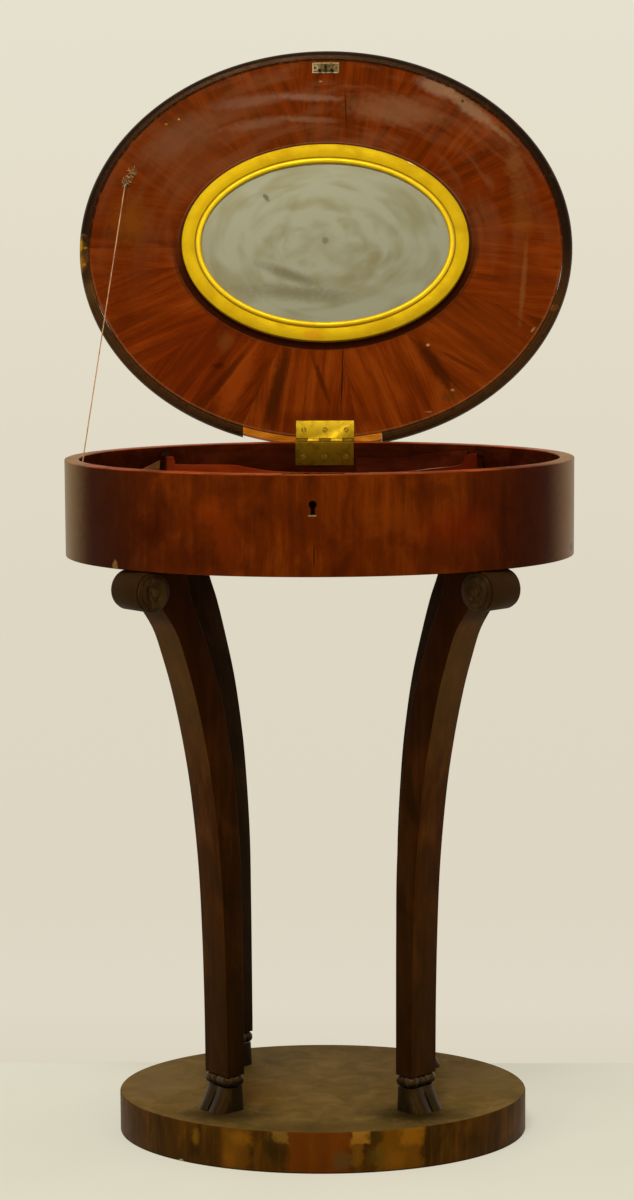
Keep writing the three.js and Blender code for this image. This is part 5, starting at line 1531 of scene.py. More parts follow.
@dataclass
class Stay:
    """The string that holds the lid open, its knots and its nails."""

    lid_x: float = -238.0
    lid_up: float = 312.0
    box_y: float = -30.0
    box_drop: float = 18.0
    nail_proud: float = 3.0
    head_radius: float = 2.6
    diameter: float = 1.4
    route_points: int = 24
    ring_pitch: float = 1.6
    twist: float = 3.2
    slack_share: float = 0.8

    def lid_nail(self) -> tuple[Vector, Vector]:
        """The lid nail's foot on the open lid's underside, and the direction that leaves it."""
        local = Vector((self.lid_x, -self.lid_up, SIZES.underside)) * MM
        return (SIZES.lid_frame @ local) / MM, SIZES.lid_frame.to_3x3() @ Vector((0, 0, -1))

    def box_nail(self) -> tuple[Vector, Vector]:
        """The box nail's foot on the wall's inner face, and the direction that leaves it.

        Returns:
            The foot in millimetres, and the direction.
        """
        a, b = SIZES.inner_half_length, SIZES.inner_half_width
        angle = pi - asin(self.box_y / b)
        foot = Vector((a * cos(angle), b * sin(angle), SIZES.rim - self.box_drop))
        return foot, Vector((-cos(angle) / a, -sin(angle) / b, 0.0)).normalized()

    def build(self, bench: Bench) -> None:
        """Builds the string, its knots and its nails.

        Args:
            bench: Where the pieces are put on the table.
        """
        (box_foot, box_out), (lid_foot, lid_out) = self.box_nail(), self.lid_nail()
        box_end = box_foot + box_out * self.nail_proud / 3
        lid_end = lid_foot + lid_out * self.nail_proud / 3
        run = (lid_end - box_end).normalized()
        clear = self.head_radius + self.diameter
        start, end = box_end + run * clear, lid_end - run * clear
        route = [start.lerp(end, i / self.route_points) for i in range(self.route_points + 1)]
        string = self.string(start, route[-1])
        bench.coat(string, LINEN)
        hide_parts("stay_string")
        LOG.info("%s follows the table and the lid", string.name)
        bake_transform(string)
        self.nails(bench)
        self.knots(bench, (route[-1] - route[0]).normalized())

    def string(self, start: Vector, end: Vector) -> Piece:
        """Two strands twisted together, whose outline turns as it goes.

        Args:
            start: Where the string starts.
            end: Where it ends.

        Returns:
            The string.
        """
        length = (end - start).length
        steps = int(length / self.ring_pitch)
        path = [start.lerp(end, i / steps) for i in range(steps + 1)]
        turn = pi * length / steps / self.twist
        return tube(
            "stay_string_twisted", path, self.diameter / 2, 10,
            lambda ring, angle: 0.78 + 0.22 * abs(cos(angle - turn * ring)),
        )

    def nails(self, bench: Bench) -> None:
        """Two small round headed nails.

        Args:
            bench: Where the pieces are put on the table.
        """
        r, h = self.head_radius, self.nail_proud
        profile = [
            (0, -8), (1, -7), (1, h - 1), (r, h - 0.8), (r * 0.97, h - 0.45), (r * 0.7, h - 0.12), (0, h),
        ]
        for where, body, (foot, out) in (
            ("box", TABLE_BODY, self.box_nail()), ("lid", LID_BODY, self.lid_nail()),
        ):
            nail = make_object(f"stay_nail_in_{where}", *lathe(profile, 24))
            bench.place(shift(nail, aimed(out, *foot)), body, "steel", STEEL, f"stay_nail_{where}")

    def coil(self, name: str, foot: Vector, normal: Vector, toward: Vector, turns: float) -> Piece:
        """String wound round a nail below its head.

        Args:
            name: The piece's name.
            foot: The nail's foot.
            normal: The direction of the nail.
            toward: The direction in which the string leaves.
            turns: How many turns are wound.

        Returns:
            The knot.
        """
        side = (toward - normal * toward.dot(normal)).normalized()
        other = normal.cross(side)
        steps = int(turns * 20)
        path = []
        for i in range(steps + 1):
            angle = 2 * pi * turns * i / steps - pi / 2
            height = 0.5 + 1.1 * i / steps
            swell = 1.0 + self.diameter * 0.55 + 0.5 * sin(i * 1.7) * 0.3
            path.append(foot + normal * height + swell * (cos(angle) * side + sin(angle) * other))
        tail = (toward + 0.15 * other).normalized()
        path += [path[-1] + tail * t for t in (1.0, 2.2, 3.4)]
        return tube(name, path, self.diameter / 2 * 0.9, 8)

    def knots(self, bench: Bench, run: Vector) -> None:
        """The windings at both nails, and the frayed tail at the lid.

        Args:
            bench: Where the pieces are put on the table.
            run: The string's direction from the box to the lid.
        """
        box_knot = self.coil("stay_knot_box", *self.box_nail(), run, 1.6)
        bench.place(box_knot, TABLE_BODY, "string", LINEN)
        foot, out = self.lid_nail()
        bench.place(self.coil("stay_knot_lid", foot, out, -run, 2.3), LID_BODY, "string", LINEN)
        draw = random.Random(11)
        across = Vector((1, 0, 0))
        upward = out.cross(across).normalized()
        if upward.z < 0:
            upward = -upward
        for name, finish, count in (("stay_frayed_tail", FRAYED, 44), ("stay_frayed_ends", FRAYED_DARK, 26)):
            fibres = []
            for i in range(count):
                angle = draw.uniform(0, 2 * pi)
                reach = draw.uniform(2.5, 6.0)
                lift = draw.uniform(0.4, 3.0)
                bend = draw.uniform(-1.1, 1.1)
                up = draw.uniform(-4.0, 16.0)
                root = foot + upward * up + across * (0.6 * up + draw.uniform(-0.8, 3.0))
                path = []
                for t in (k / 6 for k in range(7)):
                    turn = angle + bend * t
                    direction = cos(turn) * across + sin(turn) * upward
                    path.append(root + direction * reach * t + out * (0.6 + lift * sin(t * 2.2)))
                fibres.append(tube(f"fibre_{i}", path, draw.uniform(0.2, 0.45), 5))
            bench.place(joined(name, fibres), LID_BODY, "string", finish)


@dataclass
class Box:
    """The oval box: its wall, its floor and its lock."""

    arris: float = 1.2
    lock_width: float = 54.0
    lock_height: float = 46.0
    lock_depth: float = 11.4
    lock_flange: float = 5.0
    lock_sheet: float = 1.5
    keyhole_drop: float = 31.3
    keyhole_radius: float = 4.2
    keyhole_slot: float = 4.4
    keyhole_length: float = 11.0
    floor_arris: float = 0.6

    def build(self, bench: Bench) -> None:
        """Builds the wall and the floor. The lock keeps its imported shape.

        Args:
            bench: Where the pieces are put on the table.
        """
        a, inset = self.arris, SIZES.wall
        low, high = SIZES.bottom, SIZES.rim
        middle = low + SIZES.box_height / 2
        section = [
            (a, low), (a * 0.3, low + a * 0.3), (0, low + a), (0, middle), (0, high - a),
            (a * 0.3, high - a * 0.3), (a, high), (inset - 0.8, high), (inset, high - 0.8), (inset, middle),
            (inset, low),
        ]
        skin = oval_sweep(section, SIZES.box_half_length, SIZES.box_half_width, 360)
        wall = combine(make_object("box_wall_veneered", *skin), self.cutters())
        bench.place(wall, TABLE_BODY, "mahogany_veneer", BOX_VENEER, "box_wall")
        bench.paint(wall, WALL_INSIDE, lambda place, normal: normal.xy.dot(place.xy.normalized()) < -0.3)
        # The rim and its upper arris: bare wood, partly a painted highlight where the arris catches the
        # light.
        bench.paint(wall, RIM_WOOD, lambda place, normal: normal.z > 0.25 and place.z > high - a)
        edge, gap = self.floor_arris, SIZES.seat
        levels = [(edge, low), (0, low + edge), (0, SIZES.floor_top)]
        skin = oval_stack(levels, SIZES.inner_half_length - gap, SIZES.inner_half_width - gap)
        bench.place(make_object("box_floor_panel", *skin), TABLE_BODY, "pale_wood", RAW_WOOD, "box_floor")
        bench.dress("lock_case", LOCK_BRASS)
        bench.dress("lock_bolt", STEEL)
        for side in ("left", "right"):
            bench.dress(f"lock_screw_{side}", DULL_BRASS)
        for corner in Corner:
            bench.dress(f"leg_screw_{corner.label}", STEEL)

    def cutters(self) -> list[Piece]:
        """The shapes that are cut out of the wall: the keyhole, the lock's pocket and the hinge's seat.

        Returns:
            The cutters.
        """
        inner, outer = SIZES.inner_half_width, SIZES.box_half_width
        rim, gap, over = SIZES.rim, SIZES.seat, SIZES.overrun
        key_z = rim - self.keyhole_drop
        profile = [(0, 0), (self.keyhole_radius, 0), (self.keyhole_radius, 26), (0, 26)]
        keyhole = shift(make_object("cut", *lathe(profile, 40)), aimed((0, 1, 0), 0, -outer - over, key_z))
        slot, lock, bottom = self.keyhole_slot / 2, self.lock_width / 2 + gap, rim - self.lock_height - gap
        flange, hinge = lock + self.lock_flange, SIZES.hinge_width / 2 + gap
        depth = inner + self.lock_depth + gap
        boxes = [
            ((-slot, -outer - over, key_z - self.keyhole_length), (slot, -outer + SIZES.wall, key_z)),
            ((-lock, -depth, bottom), (lock, -inner + over, rim + over)),
            ((-flange, -inner - gap, bottom - self.lock_flange), (flange, -inner + over, rim + over)),
            ((-flange, -depth, rim - self.lock_sheet - gap), (flange, -inner + over, rim + over)),
            ((-hinge, inner - over, rim - SIZES.hinge_down - gap), (hinge, inner + gap, rim + over)),
            ((-hinge, inner - over, rim - SIZES.hinge_leaf - gap), (hinge, outer + over, rim + over)),
        ]
        return [keyhole] + [make_object("cut", *block(*corners)) for corners in boxes]


@dataclass
class FittedInside:
    """The boards that part the inside of the box."""

    board: float = 6.0
    divider_x: float = 179.0
    well_half_width: float = 90.0
    well_dip: float = 25.0
    divider_dip: float = 28.0
    lining: float = 3.0
    lining_from: float = 37.0
    lining_to: float = 168.0
    lining_dip: float = 17.0
    wing_length: float = 26.0
    wing_top_dip: float = 10.0
    wing_low_dip: float = 23.0
    # Where along X the well boards' top edges get the painted highlight.
    worn: Pair = (60.0, 158.0)
    back_shares: Profile = (
        (-1, 0.28), (-0.96, 0.28), (-0.945, 0.5), (-0.92, 0.62), (-0.6, 0.64), (-0.48, 0.76), (-0.34, 0.92),
        (-0.2, 0.98), (0, 1), (0.4, 1), (0.56, 0.96), (0.71, 0.84), (0.82, 0.77), (0.89, 0.68), (0.91, 0.5),
        (0.93, 0.28), (0.965, 0.18), (1, 0.16),
    )
    front_shares: Profile = (
        (-1, 0.64), (-0.6, 0.64), (-0.48, 0.76), (-0.34, 0.92), (-0.2, 0.98), (0, 1), (0.2, 0.98),
        (0.34, 0.92), (0.48, 0.76), (0.6, 0.64), (1, 0.64),
    )
    divider_shares: Profile = (
        (-1, 0.4), (-0.8, 0.45), (-0.66, 0.86), (-0.5, 1), (0.14, 1), (0.26, 0.9), (0.33, 0.5), (0.36, 0.24),
        (0.4, 0.16), (1, 0.14),
    )
    lining_shares: Profile = (
        (0, 0.98), (0.2, 1), (0.37, 0.96), (0.5, 0.78), (0.65, 0.58), (0.79, 0.44), (0.9, 0.37), (1, 0.32),
    )

    def build(self, bench: Bench) -> None:
        """Builds every board.

        Args:
            bench: Where the pieces are put on the table.
        """
        half = self.divider_x - self.board / 2 - SIZES.seat
        for node, shares, y in (
            ("well_back_board", self.back_shares, self.well_half_width),
            ("well_front_board", self.front_shares, -self.well_half_width),
        ):
            outline = self.outline(shares, half, self.well_dip)
            obj = soften(make_object(f"{node}_swept", *slab(outline, self.board, y, True), sharp=40), 0.9)
            bench.place(obj, TABLE_BODY, "mahogany_veneer", INSIDE_WOOD, node)
            # The top edges in that span take the painted highlight.
            first, last = self.worn
            bench.paint(obj, EDGE_HIGHLIGHT, lambda place, normal: normal.z > 0.5 and first < place.x < last)
        outline = self.outline(self.divider_shares, SIZES.inner_half_width, self.divider_dip)
        for node, x, wood in (
            ("divider_left", -self.divider_x, POST_WOOD), ("divider_right", self.divider_x, RIGHT_POST_SHADE),
        ):
            obj = make_object(f"{node}_swept", *slab(outline, self.board, x, False), sharp=40)
            soften(combine(obj, [self.room()], "INTERSECT"), 0.9)
            bench.place(obj, TABLE_BODY, "mahogany_veneer", wood, node)
            bench.paint(obj, SHADED_EDGE, lambda place, normal: normal.z > 0.3)
        lining = self.rear_lining()
        bench.place(lining, TABLE_BODY, "mahogany_veneer", LINING_WOOD, "rear_lining")
        bench.paint(lining, SHADED_EDGE, lambda place, normal: normal.z > 0.3)
        bench.place(self.wing(), TABLE_BODY, "pale_wood", WING_WOOD, "left_wing_board")

    def outline(self, shares: Profile, half: float, dip: float) -> list[Pair]:
        """A board's face from the floor up to its swept top.

        Args:
            shares: The top as shares of half and dip.
            half: Half the board's length.
            dip: The greatest dip below the rim.

        Returns:
            The outline.
        """
        foot = SIZES.floor_top + SIZES.seat
        points = [(along * half, SIZES.rim - drop * dip) for along, drop in shares]
        top = smooth_curve(points, 4 * len(shares))
        return [(-half, foot), (half, foot)] + top[::-1]

    def room(self) -> Piece:
        """The space inside the wall, for trimming boards."""
        a, b = SIZES.inner_half_length - SIZES.seat, SIZES.inner_half_width - SIZES.seat
        return make_object("room", *oval_stack([(0, SIZES.floor_top), (0, SIZES.rim)], a, b))

    def rear_lining(self) -> Piece:
        """The thin lining bent along the rear wall.

        Returns:
            The lining.
        """
        a, b, gap = SIZES.inner_half_length, SIZES.inner_half_width, SIZES.seat
        start, end = acos(self.lining_from / a), acos(self.lining_to / a)
        foot = SIZES.floor_top + gap
        rings = []
        for along, drop in smooth_curve(self.lining_shares, 56):
            angle = start + (end - start) * along
            top = SIZES.rim - drop * self.lining_dip
            section = ((gap, foot), (gap, top), (gap + self.lining, top), (gap + self.lining, foot))
            rings.append([((a - i) * cos(angle), (b - i) * sin(angle), z) for i, z in section])
        return soften(make_object("rear_lining_bent", *loft(rings), sharp=40), 0.6)

    def wing(self) -> Piece:
        """The short board in the left bay.

        Returns:
            The board.
        """
        face, end = -self.divider_x - self.board / 2 - SIZES.seat, -SIZES.inner_half_length
        foot = SIZES.floor_top + SIZES.seat
        high, low = SIZES.rim - self.wing_top_dip, SIZES.rim - self.wing_low_dip
        outline = [(end, foot), (face, foot), (face, high), (face - self.wing_length, low), (end, low)]
        skin = slab(outline, self.board, self.well_half_width, True)
        obj = make_object("left_wing_board_cut", *skin, sharp=40)
        return soften(combine(obj, [self.room()], "INTERSECT"), 0.8)


@dataclass
class Hinge:
    """The wide brass hinge, its pin and its screws."""

    barrels: int = 5
    pin: float = 1.3
    pin_play: float = 0.15
    screw_pitch: float = 25.0
    screw_up: float = 13.0
    screw_down: float = 17.0
    head_radius: float = 3.3
    head_height: float = 1.1
    slot_width: float = 0.9
    shank: float = 4.0
    turns: tuple[Point, Point] = ((0.5, 1.9, 2.6), (0.2, 1.1, 2.2))

    def build(self, bench: Bench) -> None:
        """Builds both leaves and dresses the pin and the screws.

        Args:
            bench: Where the pieces are put on the table.
        """
        half, under, leaf = SIZES.hinge_width / 2, SIZES.underside, SIZES.hinge_leaf
        plate = make_object("plate", *block((-half, -SIZES.hinge_up, under), (half, -self.pin, under + leaf)))
        lid_leaf = self.leaf_with_barrels("hinge_leaf_on_lid", plate, True)
        bench.place(lid_leaf, LID_BODY, "old_brass", BRASS, "hinge_lid_leaf", SIZES.lid_frame)
        inner, top = SIZES.inner_half_width - SIZES.axis_y, SIZES.rim - SIZES.axis_z
        over = make_object("plate", *block((-half, inner - leaf, top - leaf), (half, -self.pin, top)))
        drop = make_object("plate", *block((-half, inner - leaf, top - SIZES.hinge_down), (half, inner, top)))
        box_leaf = self.leaf_with_barrels("hinge_leaf_in_box", combine(over, [drop], "UNION"), False)
        place = move(0, SIZES.axis_y, SIZES.axis_z)
        bench.place(box_leaf, TABLE_BODY, "old_brass", DULL_BRASS, "hinge_box_leaf", place)
        bench.dress("hinge_pin", DULL_BRASS)
        inner = SIZES.inner_half_width - leaf
        for i, side in enumerate(("left", "middle", "right")):
            x = (i - 1) * self.screw_pitch
            place = aimed((0, -1, 0), x, inner, SIZES.rim - self.screw_down)
            low = self.screw(f"hinge_screw_in_box_{side}", place, self.turns[0][i])
            bench.place(low, TABLE_BODY, "old_brass", BRASS_SCREW, f"hinge_box_screw_{side}")
            place = SIZES.lid_frame @ aimed((0, 0, -1), x, -self.screw_up, under)
            high = self.screw(f"hinge_screw_in_lid_{side}", place, self.turns[1][i])
            bench.place(high, LID_BODY, "old_brass", BRASS_SCREW, f"hinge_lid_screw_{side}")

    def screw(self, name: str, place: Matrix, turn: float) -> Piece:
        """A countersunk screw with a slot across its flush head.

        Args:
            name: Its name.
            place: Turns +Z to the way it faces, and moves it to its seat.
            turn: How far its slot is turned.

        Returns:
            The screw.
        """
        r, h, half = self.head_radius, self.head_height, self.slot_width / 2
        profile = [
            (0, -self.shank), (r * 0.5, -self.shank), (r * 0.5, -h), (r * 0.96, -0.15), (r, -0.04),
            (r * 0.97, 0.05), (r * 0.6, 0.13), (0, 0.16),
        ]
        screw = make_object(name, *lathe(profile, 32))
        combine(screw, [make_object("slot", *block((-r * 1.2, -half, -h * 0.55), (r * 1.2, half, h)))])
        return shift(screw, place @ Matrix.Rotation(turn, 4, "Z"))

    def barrel(self, middle: float, length: float, radius: float) -> Piece:
        """A round bar along X about a place on the axis."""
        profile = [(0, -length / 2), (radius, -length / 2), (radius, length / 2), (0, length / 2)]
        turn = Matrix.Rotation(pi / 2, 4, "Y")
        return shift(make_object("barrel", *lathe(profile, 32)), move(middle, 0, 0) @ turn)

    def leaf_with_barrels(self, name: str, plate: Piece, on_lid: bool) -> Piece:
        """Joins a leaf to its own barrels and clears it from the other leaf's.

        Args:
            name: The leaf's name.
            plate: Its flat plate.
            on_lid: True for the lid's leaf.

        Returns:
            The leaf.
        """
        width, running = SIZES.hinge_width, SIZES.hinge_running
        length, room = width / self.barrels, SIZES.hinge_knuckle + running
        reach = (length + running) / 2
        clear, own = [], []
        for i in range(self.barrels):
            middle = (i + 0.5) * length - width / 2
            if (i % 2 == 1) == on_lid:
                own.append(self.barrel(middle, length - running, SIZES.hinge_knuckle))
            else:
                low, high = (middle - reach, -room, -room), (middle + reach, room, room)
                clear.append(make_object("clear", *block(low, high)))
        leaf = combine(combine(plate, clear), own, "UNION")
        combine(leaf, [self.barrel(0, width + 10, self.pin + self.pin_play)])
        leaf.name = name
        return soften(leaf, 0.25, 1, 50)


@dataclass
class Lid:
    """The oval lid, its ebonised bead and the lipping above the hinge."""

    arris: float = 0.5
    bead: float = 11.5
    lipping: float = 8.0
    glue_gap: float = 0.3
    cut_left: float = -97.0
    cut_right: float = 67.0
    bead_shares: Profile = (
        (0.0, -1.0), (0.35, -0.985), (0.62, -0.9), (0.8, -0.74), (0.92, -0.5), (0.98, -0.25), (1.0, 0.0),
        (0.98, 0.25), (0.92, 0.5), (0.8, 0.74), (0.62, 0.9), (0.35, 0.985), (0.0, 1.0),
    )
    link_length: float = 32.0
    link_width: float = 13.0
    link_sheet: float = 1.8
    link_behind_wall: float = 5.0

    def build(self, bench: Bench) -> None:
        """Builds the panel, the bead and the lipping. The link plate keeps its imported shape.

        Args:
            bench: Where the pieces are put on the table.
        """
        under, top, a = SIZES.underside, SIZES.underside + SIZES.lid_thickness, self.arris
        levels = [(a, under), (0, under + a), (0, top - a), (a, top)]
        skin = oval_stack(levels, SIZES.box_half_length, SIZES.box_half_width)
        panel = shift(make_object("lid_panel_veneered", *skin), move(0, LID_CENTRE_Y, 0))
        combine(panel, self.pockets())
        bench.place(panel, LID_BODY, "mahogany_veneer", LID_VENEER, "lid_panel", SIZES.lid_frame)
        bench.paint(panel, LID_TOP_VENEER, lambda place, normal: normal.z > 0.5)
        gap, middle, half = self.glue_gap, (under + top) / 2, SIZES.lid_thickness / 2
        section = [(-gap - out * (self.bead - gap), middle + rise * half) for out, rise in self.bead_shares]
        bead = combine(self.ring("lid_edge_bead_round", section), [self.stretch(0)])
        shift(bead, move(0, LID_CENTRE_Y, 0))
        bench.place(bead, LID_BODY, "ebonised_wood", EBONISED, "lid_edge_bead", SIZES.lid_frame)
        flat = [(-gap, under), (-self.lipping, under), (-self.lipping, top), (-gap, top)]
        strip = combine(self.ring("lid_rear_lipping_cut", flat), [self.stretch(SIZES.seat)], "INTERSECT")
        combine(shift(strip, move(0, LID_CENTRE_Y, 0)), self.pockets())
        bench.place(strip, LID_BODY, "pale_wood", RAW_WOOD, "lid_rear_lipping", SIZES.lid_frame)
        bench.dress("link_plate", LINK_STEEL)
        for side in ("left", "right"):
            bench.dress(f"link_plate_screw_{side}", STEEL)

    def ring(self, name: str, section: Profile) -> Piece:
        """A section swept round the lid's edge, about the oval's own middle."""
        return make_object(name, *oval_sweep(section, SIZES.box_half_length, SIZES.box_half_width, 300))

    def stretch(self, gap: float) -> Piece:
        """The part of the rear edge that has lipping in place of the bead.

        Args:
            gap: How much smaller it is at each end.

        Returns:
            A block that holds it.
        """
        over, under = SIZES.overrun, SIZES.underside
        far, top = SIZES.box_half_width + self.bead + over, under + SIZES.lid_thickness + over
        low, high = (self.cut_left + gap, 0, under - over), (self.cut_right - gap, far, top)
        return make_object("stretch", *block(low, high))

    def pockets(self) -> list[Piece]:
        """The room for the hinge's upper leaf, its knuckle and the link plate.

        Returns:
            The cutters.
        """
        gap, over, under = SIZES.seat, SIZES.overrun, SIZES.underside
        half, room = SIZES.hinge_width / 2 + gap, SIZES.hinge_knuckle + SIZES.hinge_running
        x, y = self.link_length / 2 + gap, self.link_width / 2 + gap
        link_y = -SIZES.inner_half_width - SIZES.seat - self.link_behind_wall - SIZES.axis_y
        boxes = (
            ((-half, -SIZES.hinge_up - gap, under - over), (half, over, under + SIZES.hinge_leaf + gap)),
            ((-half, -room, under - over), (half, 4 * over, room)),
            ((-x, link_y - y, under - over), (x, link_y + y, under + self.link_sheet + gap)),
        )
        return [make_object("pocket", *block(*corners)) for corners in boxes]


@dataclass
class Mirror:
    """The gilt framed oval mirror under the lid."""

    half_length: float = 170.0
    half_width: float = 119.0
    forward: float = 4.0
    band: float = 16.0
    height: float = 9.0
    edge: float = 1.5
    rebate: float = 3.4
    lip: float = 7.0
    lip_proud: float = 1.2
    glass: float = 3.0
    backing: float = 2.3

    def build(self, bench: Bench) -> None:
        """Builds the band, the lip and the glass.

        Args:
            bench: Where the pieces are put on the table.
        """
        gap, under, e, band = SIZES.seat, SIZES.underside, self.edge, self.band
        top = under - gap
        face, shelf_inset = top - self.height, band - self.rebate
        shelf = top - self.backing - self.glass - 2 * gap
        section = [
            (0, top), (0, face + e), (e * 0.3, face + e * 0.3), (e, face), (band - e, face),
            (band - e * 0.3, face + e * 0.3), (band, face + e), (band, shelf), (shelf_inset, shelf),
            (shelf_inset, top),
        ]
        frame_skin = oval_sweep(section, self.half_length, self.half_width)
        base, crest, inset = under - 3 * gap - self.backing - self.glass, face - self.lip_proud, band + gap
        section = [(inset, base)]
        for turn in (pi * t / 10 for t in range(1, 10)):
            across = inset + self.lip * (0.5 - 0.5 * cos(turn))
            section.append((across, base + (crest - base) * sin(turn) ** 0.6))
        section.append((inset + self.lip, base))
        lip_skin = oval_sweep(section, self.half_length, self.half_width)
        inset, high = shelf_inset + gap, under - 2 * gap - self.backing
        levels = [(0, high - self.glass), (0, high)]
        glass_skin = oval_stack(levels, self.half_length - inset, self.half_width - inset)
        for name, skin, slot, finish, node in (
            ("mirror_frame_gilt", frame_skin, "gilt", GILDING, "mirror_frame"),
            ("mirror_lip_gilt", lip_skin, "gilt", GILDING_LIP, "mirror_lip"),
            ("mirror_glass_silvered", glass_skin, "mirror_glass", SILVERING, "mirror_glass"),
        ):
            obj = shift(make_object(name, *skin), move(0, LID_CENTRE_Y - self.forward, 0))
            bench.place(obj, LID_BODY, slot, finish, node, SIZES.lid_frame)
        bench.dress("mirror_backing", RAW_WOOD)


class Corner(Enum):
    """The four legs, by the sign of their X and Y."""

    FRONT_LEFT = (-1, -1)
    FRONT_RIGHT = (1, -1)
    REAR_LEFT = (-1, 1)
    REAR_RIGHT = (1, 1)

    @property
    def label(self) -> str:
        """The corner's name in lower case."""
        return self.name.lower()


@dataclass
class Leg:
    """One sabre leg with its roll, roll ends, ankle beads and cloven hoof."""

    corner: Corner
    x: float = 186.0
    y: float = 158.0
    angle: float = radians(42.0)
    width: float = 42.0
    sweep: float = 96.5
    arris: float = 1.1
    ankle_share: float = 0.95
    plinth: float = 46.0
    hoof_height: float = 27.0
    collar_height: float = 13.0
    collar_proud: float = 1.6
    bead_radius: float = 4.2
    roll_radius: float = 21.8
    roll_length: float = 44.0
    roll_arris: float = 1.2
    boss_height: float = 5.0
    boss_inset: float = 1.0
    toe: float = 15.0
    flare: float = 1.5
    cleft: float = 0.7
    tenon_seat: float = 0.4
    tenon_depth: float = 17.5
    outer_shares: Profile = (
        (0.0972, 1), (0.188, 0.994), (0.32, 0.973), (0.451, 0.929), (0.583, 0.836), (0.682, 0.723),
        (0.773, 0.583), (0.839, 0.449), (0.888, 0.328), (0.929, 0.155), (0.948, 0.075),
    )
    inner_shares: Profile = (
        (0.0972, 1.247), (0.188, 1.244), (0.32, 1.238), (0.451, 1.223), (0.583, 1.158), (0.666, 1.085),
        (0.748, 0.98), (0.822, 0.841), (0.888, 0.699), (0.946, 0.543), (1, 0.484),
    )
    boss_shares: Profile = (
        (0, 0), (0.98, 0), (1, 0.1), (1, 0.3), (0.965, 0.4), (0.86, 0.42), (0.8, 0.46), (0.795, 0.66),
        (0.75, 0.76), (0.62, 0.78), (0.53, 0.7), (0.5, 0.5), (0.46, 0.34), (0.4, 0.3), (0.28, 0.3),
        (0.235, 0.42), (0.23, 0.78), (0.17, 0.95), (0.08, 1), (0, 1),
    )
    over_roll: Profile = ((7.6, -2), (5.0, 6), (2.4, 14))
    corner_shares: Profile = ((0.0, 1.0), (0.07, 0.62), (0.29, 0.29), (0.62, 0.07), (1.0, 0.0))
    side_beads: tuple[int, ...] = (4, 2, 4, 2)

    def __post_init__(self) -> None:
        """Works out the heights, and the ankle's middle and half sizes."""
        self.rise = SIZES.bottom - self.plinth
        self.top = SIZES.bottom - SIZES.seat
        self.roll_z = self.top - self.roll_radius
        self.hoof_top = self.plinth + self.hoof_height
        self.ankle_top = self.hoof_top + self.collar_height
        outer, inner = self.outer_shares[0][1], self.inner_shares[0][1]
        self.ankle_middle = self.sweep * (outer + inner) / 2
        self.ankle_half_depth = self.sweep * (inner - outer) / 2
        self.ankle_half_width = self.width * self.ankle_share / 2

    def build(self, bench: Bench) -> None:
        """Builds the whole leg in its own frame, with X inwards, and stands it in its place.

        Args:
            bench: Where the pieces are put on the table.
        """
        (sx, sy), label = self.corner.value, self.corner.label
        turn = atan2(-sy * sin(self.angle), -sx * cos(self.angle))
        place = move(sx * self.x, sy * self.y, 0) @ Matrix.Rotation(turn, 4, "Z")
        front, shaft = sy < 0, self.shaft()
        for obj, slot, finish, node in (
            # The rear legs get the darker finish painted as shade.
            (shaft, "leg_mahogany", LEG_WOOD if front else REAR_LEG_SHADE, f"leg_{label}"),
            (self.roll_end(sx * sy), "leg_mahogany", TURNED_WOOD, f"roll_end_{label}_long_side"),
            (self.roll_end(-sx * sy), "leg_mahogany", TURNED_WOOD, f"roll_end_{label}_short_side"),
            (self.collar(), "ebonised_wood", BEAD_WOOD, f"ankle_collar_{label}"),
            (self.hoof(), "ebonised_wood", HOOF_WOOD, f"hoof_{label}"),
        ):
            obj.name = f"{obj.name}_{label}"
            bench.place(obj, TABLE_BODY, slot, finish, node, place)
        if front:
            # The sides of the front legs get the painted shade.
            bench.paint(shaft, LEG_SIDE_SHADE, lambda place, normal: abs(normal.y) > 0.7)

    def curve(self, shares: Profile) -> list[Pair]:
        """One side of the sabre curve as (inward, z), from the ankle up."""
        points = [(self.sweep * reach, self.plinth + self.rise * height) for height, reach in shares]
        points[0] = (points[0][0], self.ankle_top)
        return smooth_curve(points, 66)

    def shaft(self) -> Piece:
        """The sawn sabre curve with its roll and its tenon.

        Returns:
            The shaft.
        """
        outer = self.curve(self.outer_shares)
        outer += [(reach, self.roll_z + up) for reach, up in self.over_roll] + [(0.5, self.top)]
        inner = self.curve(self.inner_shares)
        x, z = inner[-3]
        end = inner[-1][0]
        inner = inner[:-2] + [(x + (end - x) * i / 6, z + (self.top - z) * i / 6) for i in range(1, 7)]
        rings = []
        for out, into in zip(outer, inner):
            share = ((out[1] + into[1]) / 2 - self.plinth) / self.rise
            half = self.width / 2 * (self.ankle_share + (1 - self.ankle_share) * share)
            rings.append(self.section(out, into, half))
        shaft = make_object("leg", *loft(rings), sharp=50)
        r, a, half = self.roll_radius, self.roll_arris, self.roll_length / 2
        first = [(0, -half), (r - a, -half), (r - 0.35, -half + 0.35), (r, -half + a)]
        profile = first + [(r, 0)] + [(radius, -height) for radius, height in reversed(first)]
        turn = move(0, 0, self.roll_z) @ Matrix.Rotation(pi / 2, 4, "X")
        roll = shift(make_object("roll", *lathe(profile, 72)), turn)
        inset = self.collar_proud - 2 * self.bead_radius - self.tenon_seat
        depth, width = self.ankle_half_depth + inset, self.ankle_half_width + inset
        tenon = make_object("tenon", *block(
            (self.ankle_middle - depth, -width, self.plinth - self.tenon_depth),
            (self.ankle_middle + depth, width, self.ankle_top + 4),
        ))
        return combine(shaft, [roll, tenon], "UNION")

